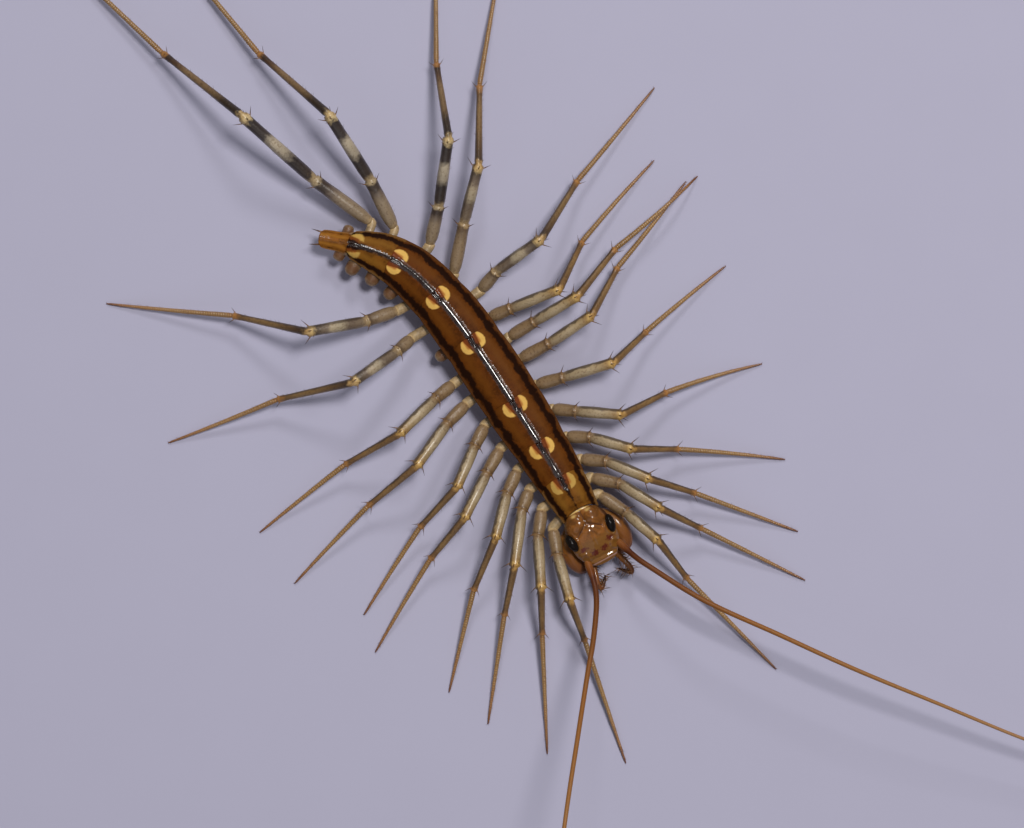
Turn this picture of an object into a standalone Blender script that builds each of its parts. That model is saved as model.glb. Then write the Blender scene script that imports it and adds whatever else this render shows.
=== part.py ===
"""House centipede, life size, standing still on the floor.

The animal faces -Y with its back up. Its left side is +X. All sizes in this
script are millimetres and degrees, and are turned into metres where a mesh is
made. The origin is on the floor, under the middle of the whole animal.
"""

import math

import bmesh
import bpy
from mathutils import Matrix, Vector
from mathutils.geometry import intersect_point_line

MM = 0.001
GAP = 0.3
OBJECT_NAME = "house_centipede"

# The middle of the front edge of the first back plate, on the floor plan
COLLAR_AT = (0.0, 0.0)

# Bend of the trunk's middle line, by distance back from the collar
TRUNK_BENDS = (
    (0.0, -2.5), (2.0, -2.0), (3.3, -1.5), (6.5, 0.3), (10.8, 0.7),
    (15.4, 4.2), (19.3, 13.7), (22.8, 36.5), (25.8, 46.5), (28.0, 48.0),
)
# Half width of the back plates, by distance back from the collar
HALF_WIDTHS = (
    (-1.0, 1.4), (0.0, 1.47), (2.0, 1.72), (4.8, 1.92), (8.2, 2.12),
    (13.5, 2.1), (17.4, 1.97), (21.2, 1.75), (22.9, 1.47), (24.6, 1.05),
    (25.8, 0.85), (27.1, 0.55),
)
# Height of the back and of the belly above the floor
BACK_HEIGHTS = (
    (0.0, 3.1), (4.8, 3.25), (17.4, 3.25), (21.2, 3.0), (24.6, 2.7), (27.1, 2.15),
)
BELLY_HEIGHTS = ((0.0, 1.35), (21.0, 1.35), (24.6, 1.45), (27.1, 1.6))

# Where each trunk length ends, at its back and at its belly
TRUNK_NODES = (
    ("trunk_1", 2.4, 2.05),
    ("trunk_2", 5.25, 5.5),
    ("trunk_3", 8.7, 9.4),
    ("trunk_4", 14.0, 13.1),
    ("trunk_5", 18.0, 17.3),
    ("trunk_6", 21.8, 21.3),
    ("trunk_7", 24.95, 24.57),
    ("tail", 27.1, 26.6),
)
COLLAR_BELLY = -0.8
CORNER_ROUND = 0.25
PLATE_GAP = 0.38
PLATE_PINCH = 0.05

# Half outline of a trunk section, from the ridge of the back to the belly,
# as shares of the half width and of the height
TRUNK_OUTLINE = (
    (0.0, 1.0), (0.35, 0.965), (0.68, 0.85), (0.92, 0.69), (1.0, 0.62),
    (0.99, 0.52), (0.8, 0.48), (0.7, 0.3), (0.55, 0.06), (0.0, 0.0),
)
PLATE_STEPS = (0.0, 0.2, 0.5, 0.8, 1.0)

# Distance of each pair of legs back from the collar
LEG_STATIONS = (
    0.25, 1.26, 2.8, 4.55, 6.5, 8.4, 10.4, 12.05,
    14.1, 16.2, 18.3, 20.2, 22.3, 23.85, 25.25,
)
# Last pair of legs on each trunk length
LAST_PAIR = (2, 4, 6, 8, 10, 12, 14, 15)

HIP_HEIGHT = 1.65
HIP_ROOT_HEIGHT = 1.75
HIP_ROOT_SHARE = 0.35
HIP_RADIUS = 0.42
HIP_ROOT_SWELL = 0.08
REAR_HIP_RADIUS = 0.36
HIP_NECK = 0.26
REAR_HIPS_FROM = 13

# One row for each leg: side, pair, hip out from and back along the plan, then
# length and forward heading of the prefemur, femur, tibia and tarsus as seen
# from above, how far the tarsus curves, and the height of the knee
LEGS = (
    ("left", 1, 1.75, 0.0, 2.4, 66, 2.9, 74, 3.4, 85, 8.9, 78, 0, 3.2),
    ("left", 2, 1.88, 1.28, 2.15, 44, 3.25, 64, 3.25, 59, 8.15, 59, 0, 3.3),
    ("left", 3, 1.95, 2.75, 1.95, 37, 3.2, 55, 3.4, 50, 7.65, 53, 0, 3.1),
    ("left", 4, 1.95, 4.6, 1.8, 34, 3.0, 48, 3.25, 33, 7.5, 38, 4, 3.2),
    ("left", 5, 2.15, 6.75, 1.8, 37, 3.15, 37, 3.55, 6, 6.95, 16, 8, 3.1),
    ("left", 6, 2.1, 8.75, 2.1, 17, 3.6, 16, 3.2, -11, 7.2, -7, 3, 3.2),
    ("left", 7, 2.1, 10.85, 2.45, 4, 3.5, -1, 3.85, -29, 7.7, -19, -3, 3.3),
    ("left", 8, 2.3, 12.55, 2.2, 1, 3.45, 2, 4.3, -19, 7.65, -9, -7, 3.8),
    ("left", 9, 1.9, 14.45, 1.75, 10, 3.55, 11, 3.75, -32, 7.6, -16, 4, 3.9),
    ("left", 10, 2.4, 16.35, 1.8, -17, 3.8, -3, 4.9, -26, 8.45, -18, -2, 4.2),
    ("left", 11, 1.4, 18.25, 3.8, -46, 4.05, -43, 5.7, -57, 9.7, -48, 0, 4.4),
    ("left", 12, 1.1, 20.9, 2.9, -44, 4.7, -49, 5.4, -67, 10.6, -58, 0, 4.6),
    ("left", 13, -0.3, 23.2, 3.85, -84, 5.25, -90, 6.65, -106, 12.35, -97, 0, 4.8),
    ("left", 14, -1.4, 24.4, 5.05, -111, 6.55, -106, 7.3, -109, 13.75, -104, 0, 5.0),
    ("right", 1, 2.2, -0.3, 1.95, 67, 3.3, 73, 3.0, 78, 9.05, 76, 0, 3.2),
    ("right", 2, 2.1, 1.25, 2.0, 49, 3.65, 61, 3.2, 59, 8.4, 60, 0, 3.3),
    ("right", 3, 2.1, 2.85, 1.6, 37, 3.95, 50, 3.55, 46, 7.65, 49, 0, 3.1),
    ("right", 4, 2.05, 4.45, 1.9, 33, 3.2, 43, 4.0, 35, 7.3, 44, 0, 3.2),
    ("right", 5, 2.25, 6.35, 2.1, 28, 3.45, 31, 3.75, 18, 7.55, 27, 2, 3.1),
    ("right", 6, 2.3, 8.3, 1.75, 31, 3.05, 34, 3.85, 15, 7.25, 25, 2, 3.2),
    ("right", 7, 2.55, 10.25, 2.05, 13, 3.6, 22, 4.45, 7, 7.45, 14, 2, 3.3),
    ("right", 8, 2.6, 11.9, 1.7, 7, 3.45, 12, 4.45, -3, 7.6, 6, 2, 3.7),
    ("right", 10, 3.35, 16.15, 1.45, 10, 3.7, 3, 5.5, -20, 8.2, -11, -3, 4.2),
    ("right", 11, 3.15, 18.3, 2.4, -13, 4.05, -22, 5.45, -45, 8.9, -38, -2, 4.4),
)
# Legs that are lost, down to the bare hip: side, pair, hip out and back, radius
LOST_LEGS = (
    ("right", 9, 2.75, 14.0, 0.45),
    ("right", 12, 3.45, 19.5, 0.48),
    ("right", 13, 3.95, 20.9, 0.52),
    ("right", 14, 4.75, 22.3, 0.5),
    ("right", 15, 4.9, 23.55, 0.42),
    ("left", 15, -2.8, 25.1, 0.4),
)
# The round end of a bare hip: share of its length, and share of its radius
BARE_HIP_ROUNDING = ((0.0, 1.05), (0.72, 1.0), (0.9, 0.84), (1.0, 0.5))

PREFEMUR_HEIGHTS = (2.2, 2.7)
ANKLE_HEIGHTS = (1.3, 1.5)
FOOT_HEIGHT = 0.07
FEMUR_ARCH = 0.12
TARSUS_DROP = 1.25
# The tarsus of this leg passes over the one in front of it
HIGH_TARSUS = ("left", 8)
HIGH_TARSUS_ARCH = 4.0
HIGH_ANKLE = 1.85

# Spurs at the far end of a leg piece: turn round the leg, lean out and length
SPURS = (
    ("prefemur", 58, 36, 1.22), ("prefemur", -62, 36, 1.22),
    ("femur", 4, 34, 1.25), ("femur", 108, 38, 1.2), ("femur", -104, 38, 1.2),
    ("tibia", 84, 32, 0.95), ("tibia", -80, 32, 0.95),
)
SPUR_PLACE = 0.93
SPUR_RADIUS = 0.17
SPUR_SIDES = 4
# A spur near another leg is made shorter by these shares, or left out
SPUR_LENGTHS = (1.0, 0.88, 0.76)
SPUR_CLEARANCE = 0.42

# Share of each leg piece's length, and the leg's radius there
PREFEMUR_RADII = ((0.45, 0.5), (0.7, 0.51), (0.9, 0.45))
FEMUR_RADII = ((0.0, 0.4), (0.12, 0.44), (0.5, 0.45), (0.88, 0.42))
TIBIA_RADII = ((0.0, 0.37), (0.09, 0.32), (0.5, 0.28), (0.92, 0.28))
TARSUS_RADII = ((0.0, 0.27), (0.08, 0.25), (0.3, 0.25), (0.55, 0.25), (0.78, 0.25), (0.92, 0.2), (1.0, 0.14))

# The head's own frame starts at the collar and is turned a little
HEAD_TURN = -4.0
# Forward distance, half width, top and bottom of the head's sections
HEAD_SECTIONS = (
    (0.2, 1.36, 3.0, 1.65), (0.6, 1.52, 3.12, 1.64), (1.1, 1.62, 3.18, 1.62),
    (1.7, 1.66, 3.15, 1.62), (2.3, 1.7, 3.05, 1.65), (2.9, 1.68, 2.92, 1.7),
    (3.4, 1.5, 2.7, 1.75), (3.8, 1.18, 2.5, 1.8), (4.1, 0.88, 2.38, 1.85),
    (4.25, 0.68, 2.25, 1.9),
)
HEAD_OUTLINE = (
    (0.0, 1.0), (0.2, 0.99), (0.4, 0.96), (0.6, 0.895), (0.8, 0.775),
    (0.95, 0.6), (1.0, 0.46), (0.96, 0.34), (0.8, 0.22), (0.5, 0.08), (0.0, 0.0),
)
HEAD_LEAN = 0.95
HEAD_LEAN_ENDS = 2.2
DOME_AT = (0.75, 0.95)
DOME_HEIGHT = 0.12
DOME_SIZE = (0.4, 0.6)

EYE_AT = (1.5, 2.03, 2.62)
EYE_RADII = (0.36, 0.66, 0.42)
EYE_TOE_IN = 8.0
EYE_GAP = 0.15

MOUTH_AT = (4.4, 2.06)
MOUTH_RADIUS = 0.75
MOUTH_HEIGHT = 0.12

# Route of each antenna: length, forward heading and rise of each stretch
ANTENNA_STARTS = {"left": (1.22, -3.83, 2.42), "right": (1.52, -3.93, 2.42)}
ANTENNA_ROUTES = {
    "left": (
        (1.54, 74, 38), (1.4, 67, 26), (4.6, 64, 14), (5.7, 57, 3), (5.8, 57, -1),
        (6.4, 55, -6), (6.4, 55, -8), (6.5, 52, -8), (6.2, 48, -6),
    ),
    "right": (
        (0.8, 76, 34), (1.26, 70, 24), (1.55, 58, 36), (2.55, 51, 33), (2.2, 47, 30),
        (2.8, 48, 28), (2.95, 48, 33), (3.25, 48, 29), (3.2, 49, 24), (6.0, 50, 14),
        (7.0, 54, 2), (6.0, 58, -8), (5.1, 62, -14),
    ),
}
ANTENNA_RADII = ((0.0, 0.3), (0.03, 0.27), (0.1, 0.25), (0.8, 0.25), (1.0, 0.12))
ANTENNA_CUTS = (("base", 0.0, 0.26), ("middle", 0.26, 0.62), ("tip", 0.62, 1.0))
ANTENNA_STEP = 1.1

# Routes in the head's frame: out, forward, height and radius at each point
FORCIPULE_ROUTE = (
    (1.08, 1.1, 1.2, 0.32), (1.72, 1.7, 1.2, 0.48), (2.0, 2.4, 1.2, 0.5),
    (2.04, 3.12, 1.1, 0.49), (1.8, 3.85, 0.88, 0.39), (1.15, 4.1, 0.55, 0.24),
    (0.6, 4.15, 0.52, 0.17), (0.25, 3.95, 0.52, 0.1),
)
PALP_ROUTE = (
    (0.62, 3.2, 1.36, 0.25), (0.72, 3.45, 1.18, 0.25), (0.92, 4.15, 1.27, 0.25),
    (1.12, 4.8, 1.4, 0.25), (1.28, 5.4, 1.42, 0.23), (1.2, 5.78, 1.35, 0.2),
    (0.85, 5.5, 1.2, 0.17), (0.52, 5.12, 1.05, 0.09),
)
STUB_DEPTH = 0.7
ANTENNA_STUB_DEPTH = 0.45

TAIL_POINT_RADIUS = 0.16
TAIL_POINT_LENGTH = 0.75

COLOURS = {
    "plate": (0.2, 0.085, 0.03), "front_plate": (0.3, 0.15, 0.05), "tail": (0.3, 0.16, 0.05),
    "head": (0.32, 0.12, 0.035), "eye": (0.006, 0.005, 0.006), "mouthpart": (0.26, 0.1, 0.035),
    "leg": (0.36, 0.25, 0.13), "rear_leg": (0.34, 0.24, 0.14), "antenna": (0.34, 0.13, 0.06),
}
ROUGHNESS = {
    "plate": 0.35, "front_plate": 0.35, "tail": 0.4, "head": 0.25, "eye": 0.08,
    "mouthpart": 0.3, "leg": 0.4, "rear_leg": 0.4, "antenna": 0.4,
}
FIRST_REAR_LEG = 10


def clear_scene():
    """Remove what the opened file holds."""
    for item in list(bpy.data.objects):
        bpy.data.objects.remove(item, do_unlink=True)


def between(table, place):
    """Read a value from a table of (place, value) rows, straight between rows."""
    if place <= table[0][0]:
        return table[0][1]
    for (place_a, value_a), (place_b, value_b) in zip(table, table[1:]):
        if place <= place_b:
            share = (place - place_a) / (place_b - place_a)
            return value_a + share * (value_b - value_a)
    return table[-1][1]


def material(slot):
    """A finish for one kind of piece, made once."""
    found = bpy.data.materials.get(slot)
    if found:
        return found
    made = bpy.data.materials.new(slot)
    made.use_nodes = True
    shader = made.node_tree.nodes["Principled BSDF"]
    shader.inputs["Base Color"].default_value = (*COLOURS[slot], 1.0)
    shader.inputs["Roughness"].default_value = ROUGHNESS[slot]
    shader.inputs["Metallic"].default_value = 0.0
    return made


def add_object(name, mesh, collection):
    item = bpy.data.objects.new(name, mesh)
    collection.objects.link(item)
    return item


def mesh_from(builder, name):
    """Turn a bmesh in millimetres into a mesh in metres."""
    bmesh.ops.scale(builder, vec=(MM, MM, MM), verts=builder.verts)
    bmesh.ops.triangulate(builder, faces=builder.faces)
    bmesh.ops.recalc_face_normals(builder, faces=builder.faces)
    mesh = bpy.data.meshes.new(name)
    builder.to_mesh(mesh)
    builder.free()
    return mesh


def finish_node(item, slot):
    """Give a node its material and its shading."""
    item.data.materials.clear()
    item.data.materials.append(material(slot))
    item.data.shade_smooth()
    item.data.set_sharp_from_angle(angle=math.radians(40))


def trunk_frame(back):
    """Place and direction of the middle line at a distance back from the collar."""
    x, y = COLLAR_AT
    step = 0.1
    direction = 1.0 if back >= 0 else -1.0
    walked = 0.0
    while walked < abs(back):
        piece = min(step, abs(back) - walked)
        bend = math.radians(between(TRUNK_BENDS, direction * (walked + piece / 2)))
        x -= math.sin(bend) * piece * direction
        y += math.cos(bend) * piece * direction
        walked += piece
    return Vector((x, y, 0.0)), math.radians(between(TRUNK_BENDS, back))


def trunk_point(back, out, height):
    """A point of the trunk: distance back, distance out to the left, height."""
    centre, bend = trunk_frame(back)
    return centre + Vector((math.cos(bend) * out, math.sin(bend) * out, height))


def head_point(out, forward, height):
    """A point in the head's own frame."""
    turn = math.radians(HEAD_TURN)
    x = COLLAR_AT[0] + math.cos(turn) * out + math.sin(turn) * forward
    y = COLLAR_AT[1] + math.sin(turn) * out - math.cos(turn) * forward
    return Vector((x, y, height))


def full_outline(half):
    """A closed outline from its half: down the left side and up the right."""
    right = [(-across, up) for across, up in reversed(half[1:-1])]
    return list(half) + right


def loft(builder, rings):
    """Skin a row of like rings and close both ends with a fan."""
    rows = [[builder.verts.new(point) for point in ring] for ring in rings]
    count = len(rows[0])
    for row_a, row_b in zip(rows, rows[1:]):
        for index in range(count):
            after = (index + 1) % count
            builder.faces.new((row_a[index], row_a[after], row_b[after], row_b[index]))
    for row in (rows[0], rows[-1]):
        middle = (row[0].co + row[count // 2].co) / 2
        hub = builder.verts.new(middle)
        for index in range(count):
            builder.faces.new((row[index], row[(index + 1) % count], hub))


def joint_place(back_end, belly_end, across, up):
    """Distance back of a joint between trunk lengths, at a point of its outline."""
    corner = CORNER_ROUND * abs(across) ** 4 if up > 0.5 else 0.0
    return belly_end + (back_end - belly_end) * up - corner


def trunk_mesh(name, front, rear):
    """One trunk length, between its front and rear joints."""
    outline = full_outline(TRUNK_OUTLINE)
    rings = []
    for share in PLATE_STEPS:
        pinch = 1.0 - PLATE_PINCH * abs(2 * share - 1) ** 3
        ring = []
        for across, up in outline:
            start = joint_place(*front, across, up) + PLATE_GAP / 2
            end = joint_place(*rear, across, up) - PLATE_GAP / 2
            back = start + share * (end - start)
            top = between(BACK_HEIGHTS, back)
            belly = between(BELLY_HEIGHTS, back)
            out = across * between(HALF_WIDTHS, back) * pinch
            ring.append(trunk_point(back, out, belly + up * (top - belly)))
        rings.append(ring)
    builder = bmesh.new()
    loft(builder, rings)
    return mesh_from(builder, name)


def aim(direction):
    """A turn that lays +Z along a direction."""
    return direction.to_track_quat("Z", "Y").to_matrix().to_4x4()


def cone_mesh(name, start, end, radius_start, radius_end, sides):
    """A closed cone or stub from one point to another."""
    along = end - start
    place = Matrix.Translation((start + end) / 2) @ aim(along)
    builder = bmesh.new()
    bmesh.ops.create_cone(
        builder, cap_ends=True, cap_tris=False, segments=sides,
        radius1=radius_start, radius2=radius_end, depth=along.length, matrix=place,
    )
    return mesh_from(builder, name)


def ball_mesh(name, centre, radii, turn, segments, rings):
    """A closed ball, stretched and turned on the floor plan."""
    place = Matrix.Translation(centre) @ Matrix.Rotation(turn, 4, "Z") @ Matrix.Diagonal((*radii, 1.0))
    builder = bmesh.new()
    bmesh.ops.create_uvsphere(builder, u_segments=segments, v_segments=rings, radius=1.0, matrix=place)
    return mesh_from(builder, name)


def smooth_route(points, step):
    """Points along a smooth curve through the route's own points.

    Each point is a list of numbers, of which the first three are its place.
    """
    padded = [points[0]] + list(points) + [points[-1]]
    result = []
    for a, b, c, d in zip(padded, padded[1:], padded[2:], padded[3:]):
        length = math.dist(b[:3], c[:3])
        count = max(1, round(length / step))
        for index in range(count):
            t = index / count
            mixed = []
            for pa, pb, pc, pd in zip(a, b, c, d):
                bend = (2 * pa - 5 * pb + 4 * pc - pd) * t * t + (3 * pb - pa - 3 * pc + pd) * t ** 3
                mixed.append(0.5 * (2 * pb + (pc - pa) * t + bend))
            result.append(mixed)
    result.append(list(points[-1]))
    return result


def tube_mesh(name, stations):
    """A closed tube through stations of (place, radius), six-sided."""
    curve = bpy.data.curves.new(name, "CURVE")
    curve.dimensions = "3D"
    curve.bevel_depth = MM
    curve.bevel_resolution = 1
    curve.use_fill_caps = True
    spline = curve.splines.new("POLY")
    spline.points.add(len(stations) - 1)
    for point, (place, radius) in zip(spline.points, stations):
        point.co = (*(place * MM), 1.0)
        point.radius = radius
    item = bpy.data.objects.new(name, curve)
    bpy.context.scene.collection.objects.link(item)
    bpy.context.view_layer.update()
    seen = item.evaluated_get(bpy.context.evaluated_depsgraph_get())
    mesh = bpy.data.meshes.new_from_object(seen)
    mesh.transform(item.matrix_world)
    bpy.data.objects.remove(item, do_unlink=True)
    bpy.data.curves.remove(curve)
    builder = bmesh.new()
    builder.from_mesh(mesh)
    bmesh.ops.remove_doubles(builder, verts=builder.verts, dist=1e-6)
    bmesh.ops.recalc_face_normals(builder, faces=builder.faces)
    builder.to_mesh(mesh)
    builder.free()
    return mesh


def keep_largest(mesh):
    """Keep only the largest closed surface of a mesh."""
    builder = bmesh.new()
    builder.from_mesh(mesh)
    left = set(builder.verts)
    groups = []
    while left:
        front = [left.pop()]
        group = list(front)
        while front:
            vertex = front.pop()
            for edge in vertex.link_edges:
                other = edge.other_vert(vertex)
                if other in left:
                    left.remove(other)
                    front.append(other)
                    group.append(other)
        groups.append(group)
    groups.sort(key=len)
    loose = [vertex for group in groups[:-1] for vertex in group]
    bmesh.ops.delete(builder, geom=loose, context="VERTS")
    bmesh.ops.triangulate(builder, faces=builder.faces)
    builder.to_mesh(mesh)
    builder.free()


def combine(base_name, base_mesh, piece_meshes, operation):
    """Join pieces to a mesh, or cut them from it, in one Boolean."""
    scene_objects = bpy.context.scene.collection
    base = add_object(base_name + "_base", base_mesh, scene_objects)
    pieces = bpy.data.collections.new(base_name + "_pieces")
    scene_objects.children.link(pieces)
    for index, piece_mesh in enumerate(piece_meshes):
        piece = add_object(f"{base_name}_piece_{index}", piece_mesh, pieces)
        piece.hide_render = True
        piece.display_type = "WIRE"
    joiner = base.modifiers.new("combine", "BOOLEAN")
    joiner.operation = operation
    joiner.operand_type = "COLLECTION"
    joiner.collection = pieces
    joiner.solver = "EXACT"
    bpy.context.view_layer.update()
    seen = base.evaluated_get(bpy.context.evaluated_depsgraph_get())
    mesh = bpy.data.meshes.new_from_object(seen)
    for piece in list(pieces.objects):
        bpy.data.objects.remove(piece, do_unlink=True)
    bpy.data.collections.remove(pieces)
    bpy.data.objects.remove(base, do_unlink=True)
    keep_largest(mesh)
    return mesh


def heading_step(side, length, heading):
    """A step on the floor plan, out to one side and turned forward."""
    angle = math.radians(heading)
    return Vector((side * math.cos(angle) * length, -math.sin(angle) * length, 0.0))


def side_sign(side):
    return 1.0 if side == "left" else -1.0


def hip_radius(pair):
    return REAR_HIP_RADIUS if pair >= REAR_HIPS_FROM else HIP_RADIUS


def hip_ends(side, pair, out, back):
    """Root of a hip inside the trunk, and its far end."""
    sign = side_sign(side)
    station = LEG_STATIONS[pair - 1]
    root_out = sign * HIP_ROOT_SHARE * between(HALF_WIDTHS, station)
    return trunk_point(station, root_out, HIP_ROOT_HEIGHT), Vector((sign * out, back, HIP_HEIGHT))


def bare_hip_stations(side, pair, out, back, radius):
    """Stations of a hip that has lost its leg, round at its end."""
    root, end = hip_ends(side, pair, out, back)
    return [(root.lerp(end, share), radius * size) for share, size in BARE_HIP_ROUNDING]


def carrying_hip_stations(row):
    """Stations of a hip that bends round to face the leg that it carries."""
    hip, prefemur_end = leg_joints(row)[:2]
    root, end = hip_ends(*row[:4])
    along = (prefemur_end - hip).normalized()
    radius = hip_radius(row[1])
    return [(root, radius + HIP_ROOT_SWELL), (end, radius), (hip + along * HIP_NECK, radius)]


def leg_joints(row):
    """The leg's hip, prefemur end, knee, ankle and a few places along the tarsus."""
    side, pair, out, back, *pose = row
    sign = side_sign(side)
    rearward = (pair - 1) / 13
    hip = Vector((sign * out, back, HIP_HEIGHT))
    prefemur_end = hip + heading_step(sign, pose[0], pose[1])
    prefemur_end.z = PREFEMUR_HEIGHTS[0] + rearward * (PREFEMUR_HEIGHTS[1] - PREFEMUR_HEIGHTS[0])
    knee = prefemur_end + heading_step(sign, pose[2], pose[3])
    knee.z = pose[9]
    ankle = knee + heading_step(sign, pose[4], pose[5])
    ankle.z = ANKLE_HEIGHTS[0] + rearward * (ANKLE_HEIGHTS[1] - ANKLE_HEIGHTS[0])
    high = (side, pair) == HIGH_TARSUS
    if high:
        ankle.z = HIGH_ANKLE
    return hip, prefemur_end, knee, ankle, high


def tarsus_stations(row, ankle, high):
    """Stations along the tarsus, which curves and comes down to the floor."""
    side, pose = row[0], row[4:]
    sign = side_sign(side)
    length, heading, curve = pose[6], pose[7], pose[8]
    arch = HIGH_TARSUS_ARCH if high else 1.0
    stations = []
    place = ankle.copy()
    walked = 0.0
    for share, radius in TARSUS_RADII:
        turn = heading + curve * ((share + walked) / 2 - 0.5)
        place = place + heading_step(sign, length * (share - walked), turn)
        fall = (1.0 - share ** arch) ** TARSUS_DROP
        place.z = FOOT_HEIGHT + (ankle.z - FOOT_HEIGHT) * fall
        stations.append((place.copy(), radius))
        walked = share
    return stations


def leg_stations(row):
    """Stations of place and radius from the hip to the foot."""
    hip, prefemur_end, knee, ankle, high = leg_joints(row)
    start = hip + (prefemur_end - hip).normalized() * (HIP_NECK + GAP)
    stations = [(start, hip_radius(row[1]))]
    for share, radius in PREFEMUR_RADII:
        stations.append((hip.lerp(prefemur_end, share), radius))
    for share, radius in FEMUR_RADII:
        place = prefemur_end.lerp(knee, share)
        place.z += FEMUR_ARCH * 4 * share * (1 - share)
        stations.append((place, radius))
    for share, radius in TIBIA_RADII:
        stations.append((knee.lerp(ankle, share), radius))
    return stations + tarsus_stations(row, ankle, high)


def flatten_foot(mesh):
    """Cut the foot level with the floor."""
    builder = bmesh.new()
    builder.from_mesh(mesh)
    bmesh.ops.bisect_plane(
        builder, geom=builder.verts[:] + builder.edges[:] + builder.faces[:],
        dist=1e-7, plane_co=(0, 0, 0), plane_no=(0, 0, 1), clear_inner=True,
    )
    rim = [edge for edge in builder.edges if edge.is_boundary]
    bmesh.ops.contextual_create(builder, geom=rim)
    bmesh.ops.triangulate(builder, faces=builder.faces)
    bmesh.ops.recalc_face_normals(builder, faces=builder.faces)
    builder.to_mesh(mesh)
    builder.free()


def room_round(point, row):
    """Distance from a point to the surface of the nearest other leg."""
    nearest = math.inf
    for other in LEGS:
        if other[:2] == row[:2]:
            continue
        stations = leg_stations(other)
        for (start, radius_a), (end, radius_b) in zip(stations, stations[1:]):
            share = min(1.0, max(0.0, intersect_point_line(point, start, end)[1]))
            on_line = start.lerp(end, share)
            radius = radius_a + share * (radius_b - radius_a)
            nearest = min(nearest, (point - on_line).length - radius)
    return nearest


def spur_meshes(row):
    """Spurs round the far ends of the prefemur, the femur and the tibia."""
    hip, prefemur_end, knee, ankle = leg_joints(row)[:4]
    lines = {"prefemur": (hip, prefemur_end), "femur": (prefemur_end, knee), "tibia": (knee, ankle)}
    spurs = []
    for piece, turn, lean, length in SPURS:
        start, end = lines[piece]
        along = (end - start).normalized()
        up = (Vector((0.0, 0.0, 1.0)) - along * along.z).normalized()
        outward = Matrix.Rotation(math.radians(turn), 3, along) @ up
        root = start.lerp(end, SPUR_PLACE)
        direction = along * math.cos(math.radians(lean)) + outward * math.sin(math.radians(lean))
        tips = [root + direction * length * share for share in SPUR_LENGTHS]
        tips = [tip for tip in tips if room_round(tip, row) > SPUR_CLEARANCE]
        if tips:
            spurs.append(cone_mesh("spur", root, tips[0], SPUR_RADIUS, 0.0, SPUR_SIDES))
    return spurs


def make_legs(collection):
    for row in LEGS:
        side, pair = row[:2]
        name = f"leg_{side}_{pair}"
        mesh = combine(name, tube_mesh(name, leg_stations(row)), spur_meshes(row), "UNION")
        flatten_foot(mesh)
        slot = "rear_leg" if pair >= FIRST_REAR_LEG else "leg"
        finish_node(add_object(name, mesh, collection), slot)


def antenna_route(side):
    """Points along the whole antenna, and the distance walked to each."""
    sign = side_sign(side)
    x, y, z = ANTENNA_STARTS[side]
    place = Vector((sign * x, y, z))
    points = [tuple(place)]
    for length, heading, rise in ANTENNA_ROUTES[side]:
        level = length * math.cos(math.radians(rise))
        place = place + heading_step(sign, level, heading)
        place.z += length * math.sin(math.radians(rise))
        points.append(tuple(place))
    return [Vector(point) for point in smooth_route(points, ANTENNA_STEP)]


def stretch(points, start, end):
    """The part of a route between two distances along it."""
    walked = 0.0
    result = []
    for a, b in zip(points, points[1:]):
        length = (b - a).length
        if not result and walked + length > start:
            result.append((a.lerp(b, (start - walked) / length), start))
        if result and walked + length >= end:
            result.append((a.lerp(b, (end - walked) / length), end))
            return result
        if result:
            result.append((b.copy(), walked + length))
        walked += length
    return result


def route_length(points):
    return sum((b - a).length for a, b in zip(points, points[1:]))


def make_antennae(collection):
    for side in ("left", "right"):
        points = antenna_route(side)
        whole = route_length(points) - 0.01
        for label, start, end in ANTENNA_CUTS:
            first = start * whole + (GAP / 2 if start else 0.0)
            last = end * whole - (GAP / 2 if end < 1.0 else 0.0)
            stations = []
            for place, walked in stretch(points, first, last):
                stations.append((place, between(ANTENNA_RADII, walked / whole)))
            name = f"antenna_{side}_{label}"
            finish_node(add_object(name, tube_mesh(name, stations), collection), "antenna")


def mouthpart_stations(route, side):
    """Stations of a mouthpart on one side, from its route in the head's frame."""
    sign = side_sign(side)
    rows = smooth_route(route, 0.42)
    return [(head_point(sign * out, forward, height), radius) for out, forward, height, radius in rows]


def stub_mesh(stations, depth=STUB_DEPTH):
    """A stub on the parent piece, facing the first ring of a tube over the gap."""
    (first, radius), (second, _) = stations[:2]
    along = (second - first).normalized()
    end = first - along * GAP
    return cone_mesh("stub", end - along * depth, end, radius * 1.15, radius, 8)


def make_mouthparts(collection):
    for side in ("left", "right"):
        for label, route in (("forcipule", FORCIPULE_ROUTE), ("palp", PALP_ROUTE)):
            name = f"{label}_{side}"
            mesh = tube_mesh(name, mouthpart_stations(route, side))
            finish_node(add_object(name, mesh, collection), "mouthpart")


def head_height(out, forward):
    """How far the two domes behind the eyes lift the top of the head."""
    across = (abs(out) - DOME_AT[0]) / DOME_SIZE[0]
    along = (forward - DOME_AT[1]) / DOME_SIZE[1]
    return DOME_HEIGHT * math.exp(-across * across - along * along)


def head_mesh():
    outline = full_outline(HEAD_OUTLINE)
    rings = []
    for forward, half_width, top, bottom in HEAD_SECTIONS:
        lean = HEAD_LEAN * max(0.0, 1.0 - forward / HEAD_LEAN_ENDS)
        ring = []
        for across, up in outline:
            out = across * half_width
            height = bottom + up * (top - bottom)
            if up > 0.5:
                height += head_height(out, forward)
            ring.append(head_point(out, forward + lean * (1 - up), height))
        rings.append(ring)
    builder = bmesh.new()
    loft(builder, rings)
    return mesh_from(builder, "head")


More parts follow.
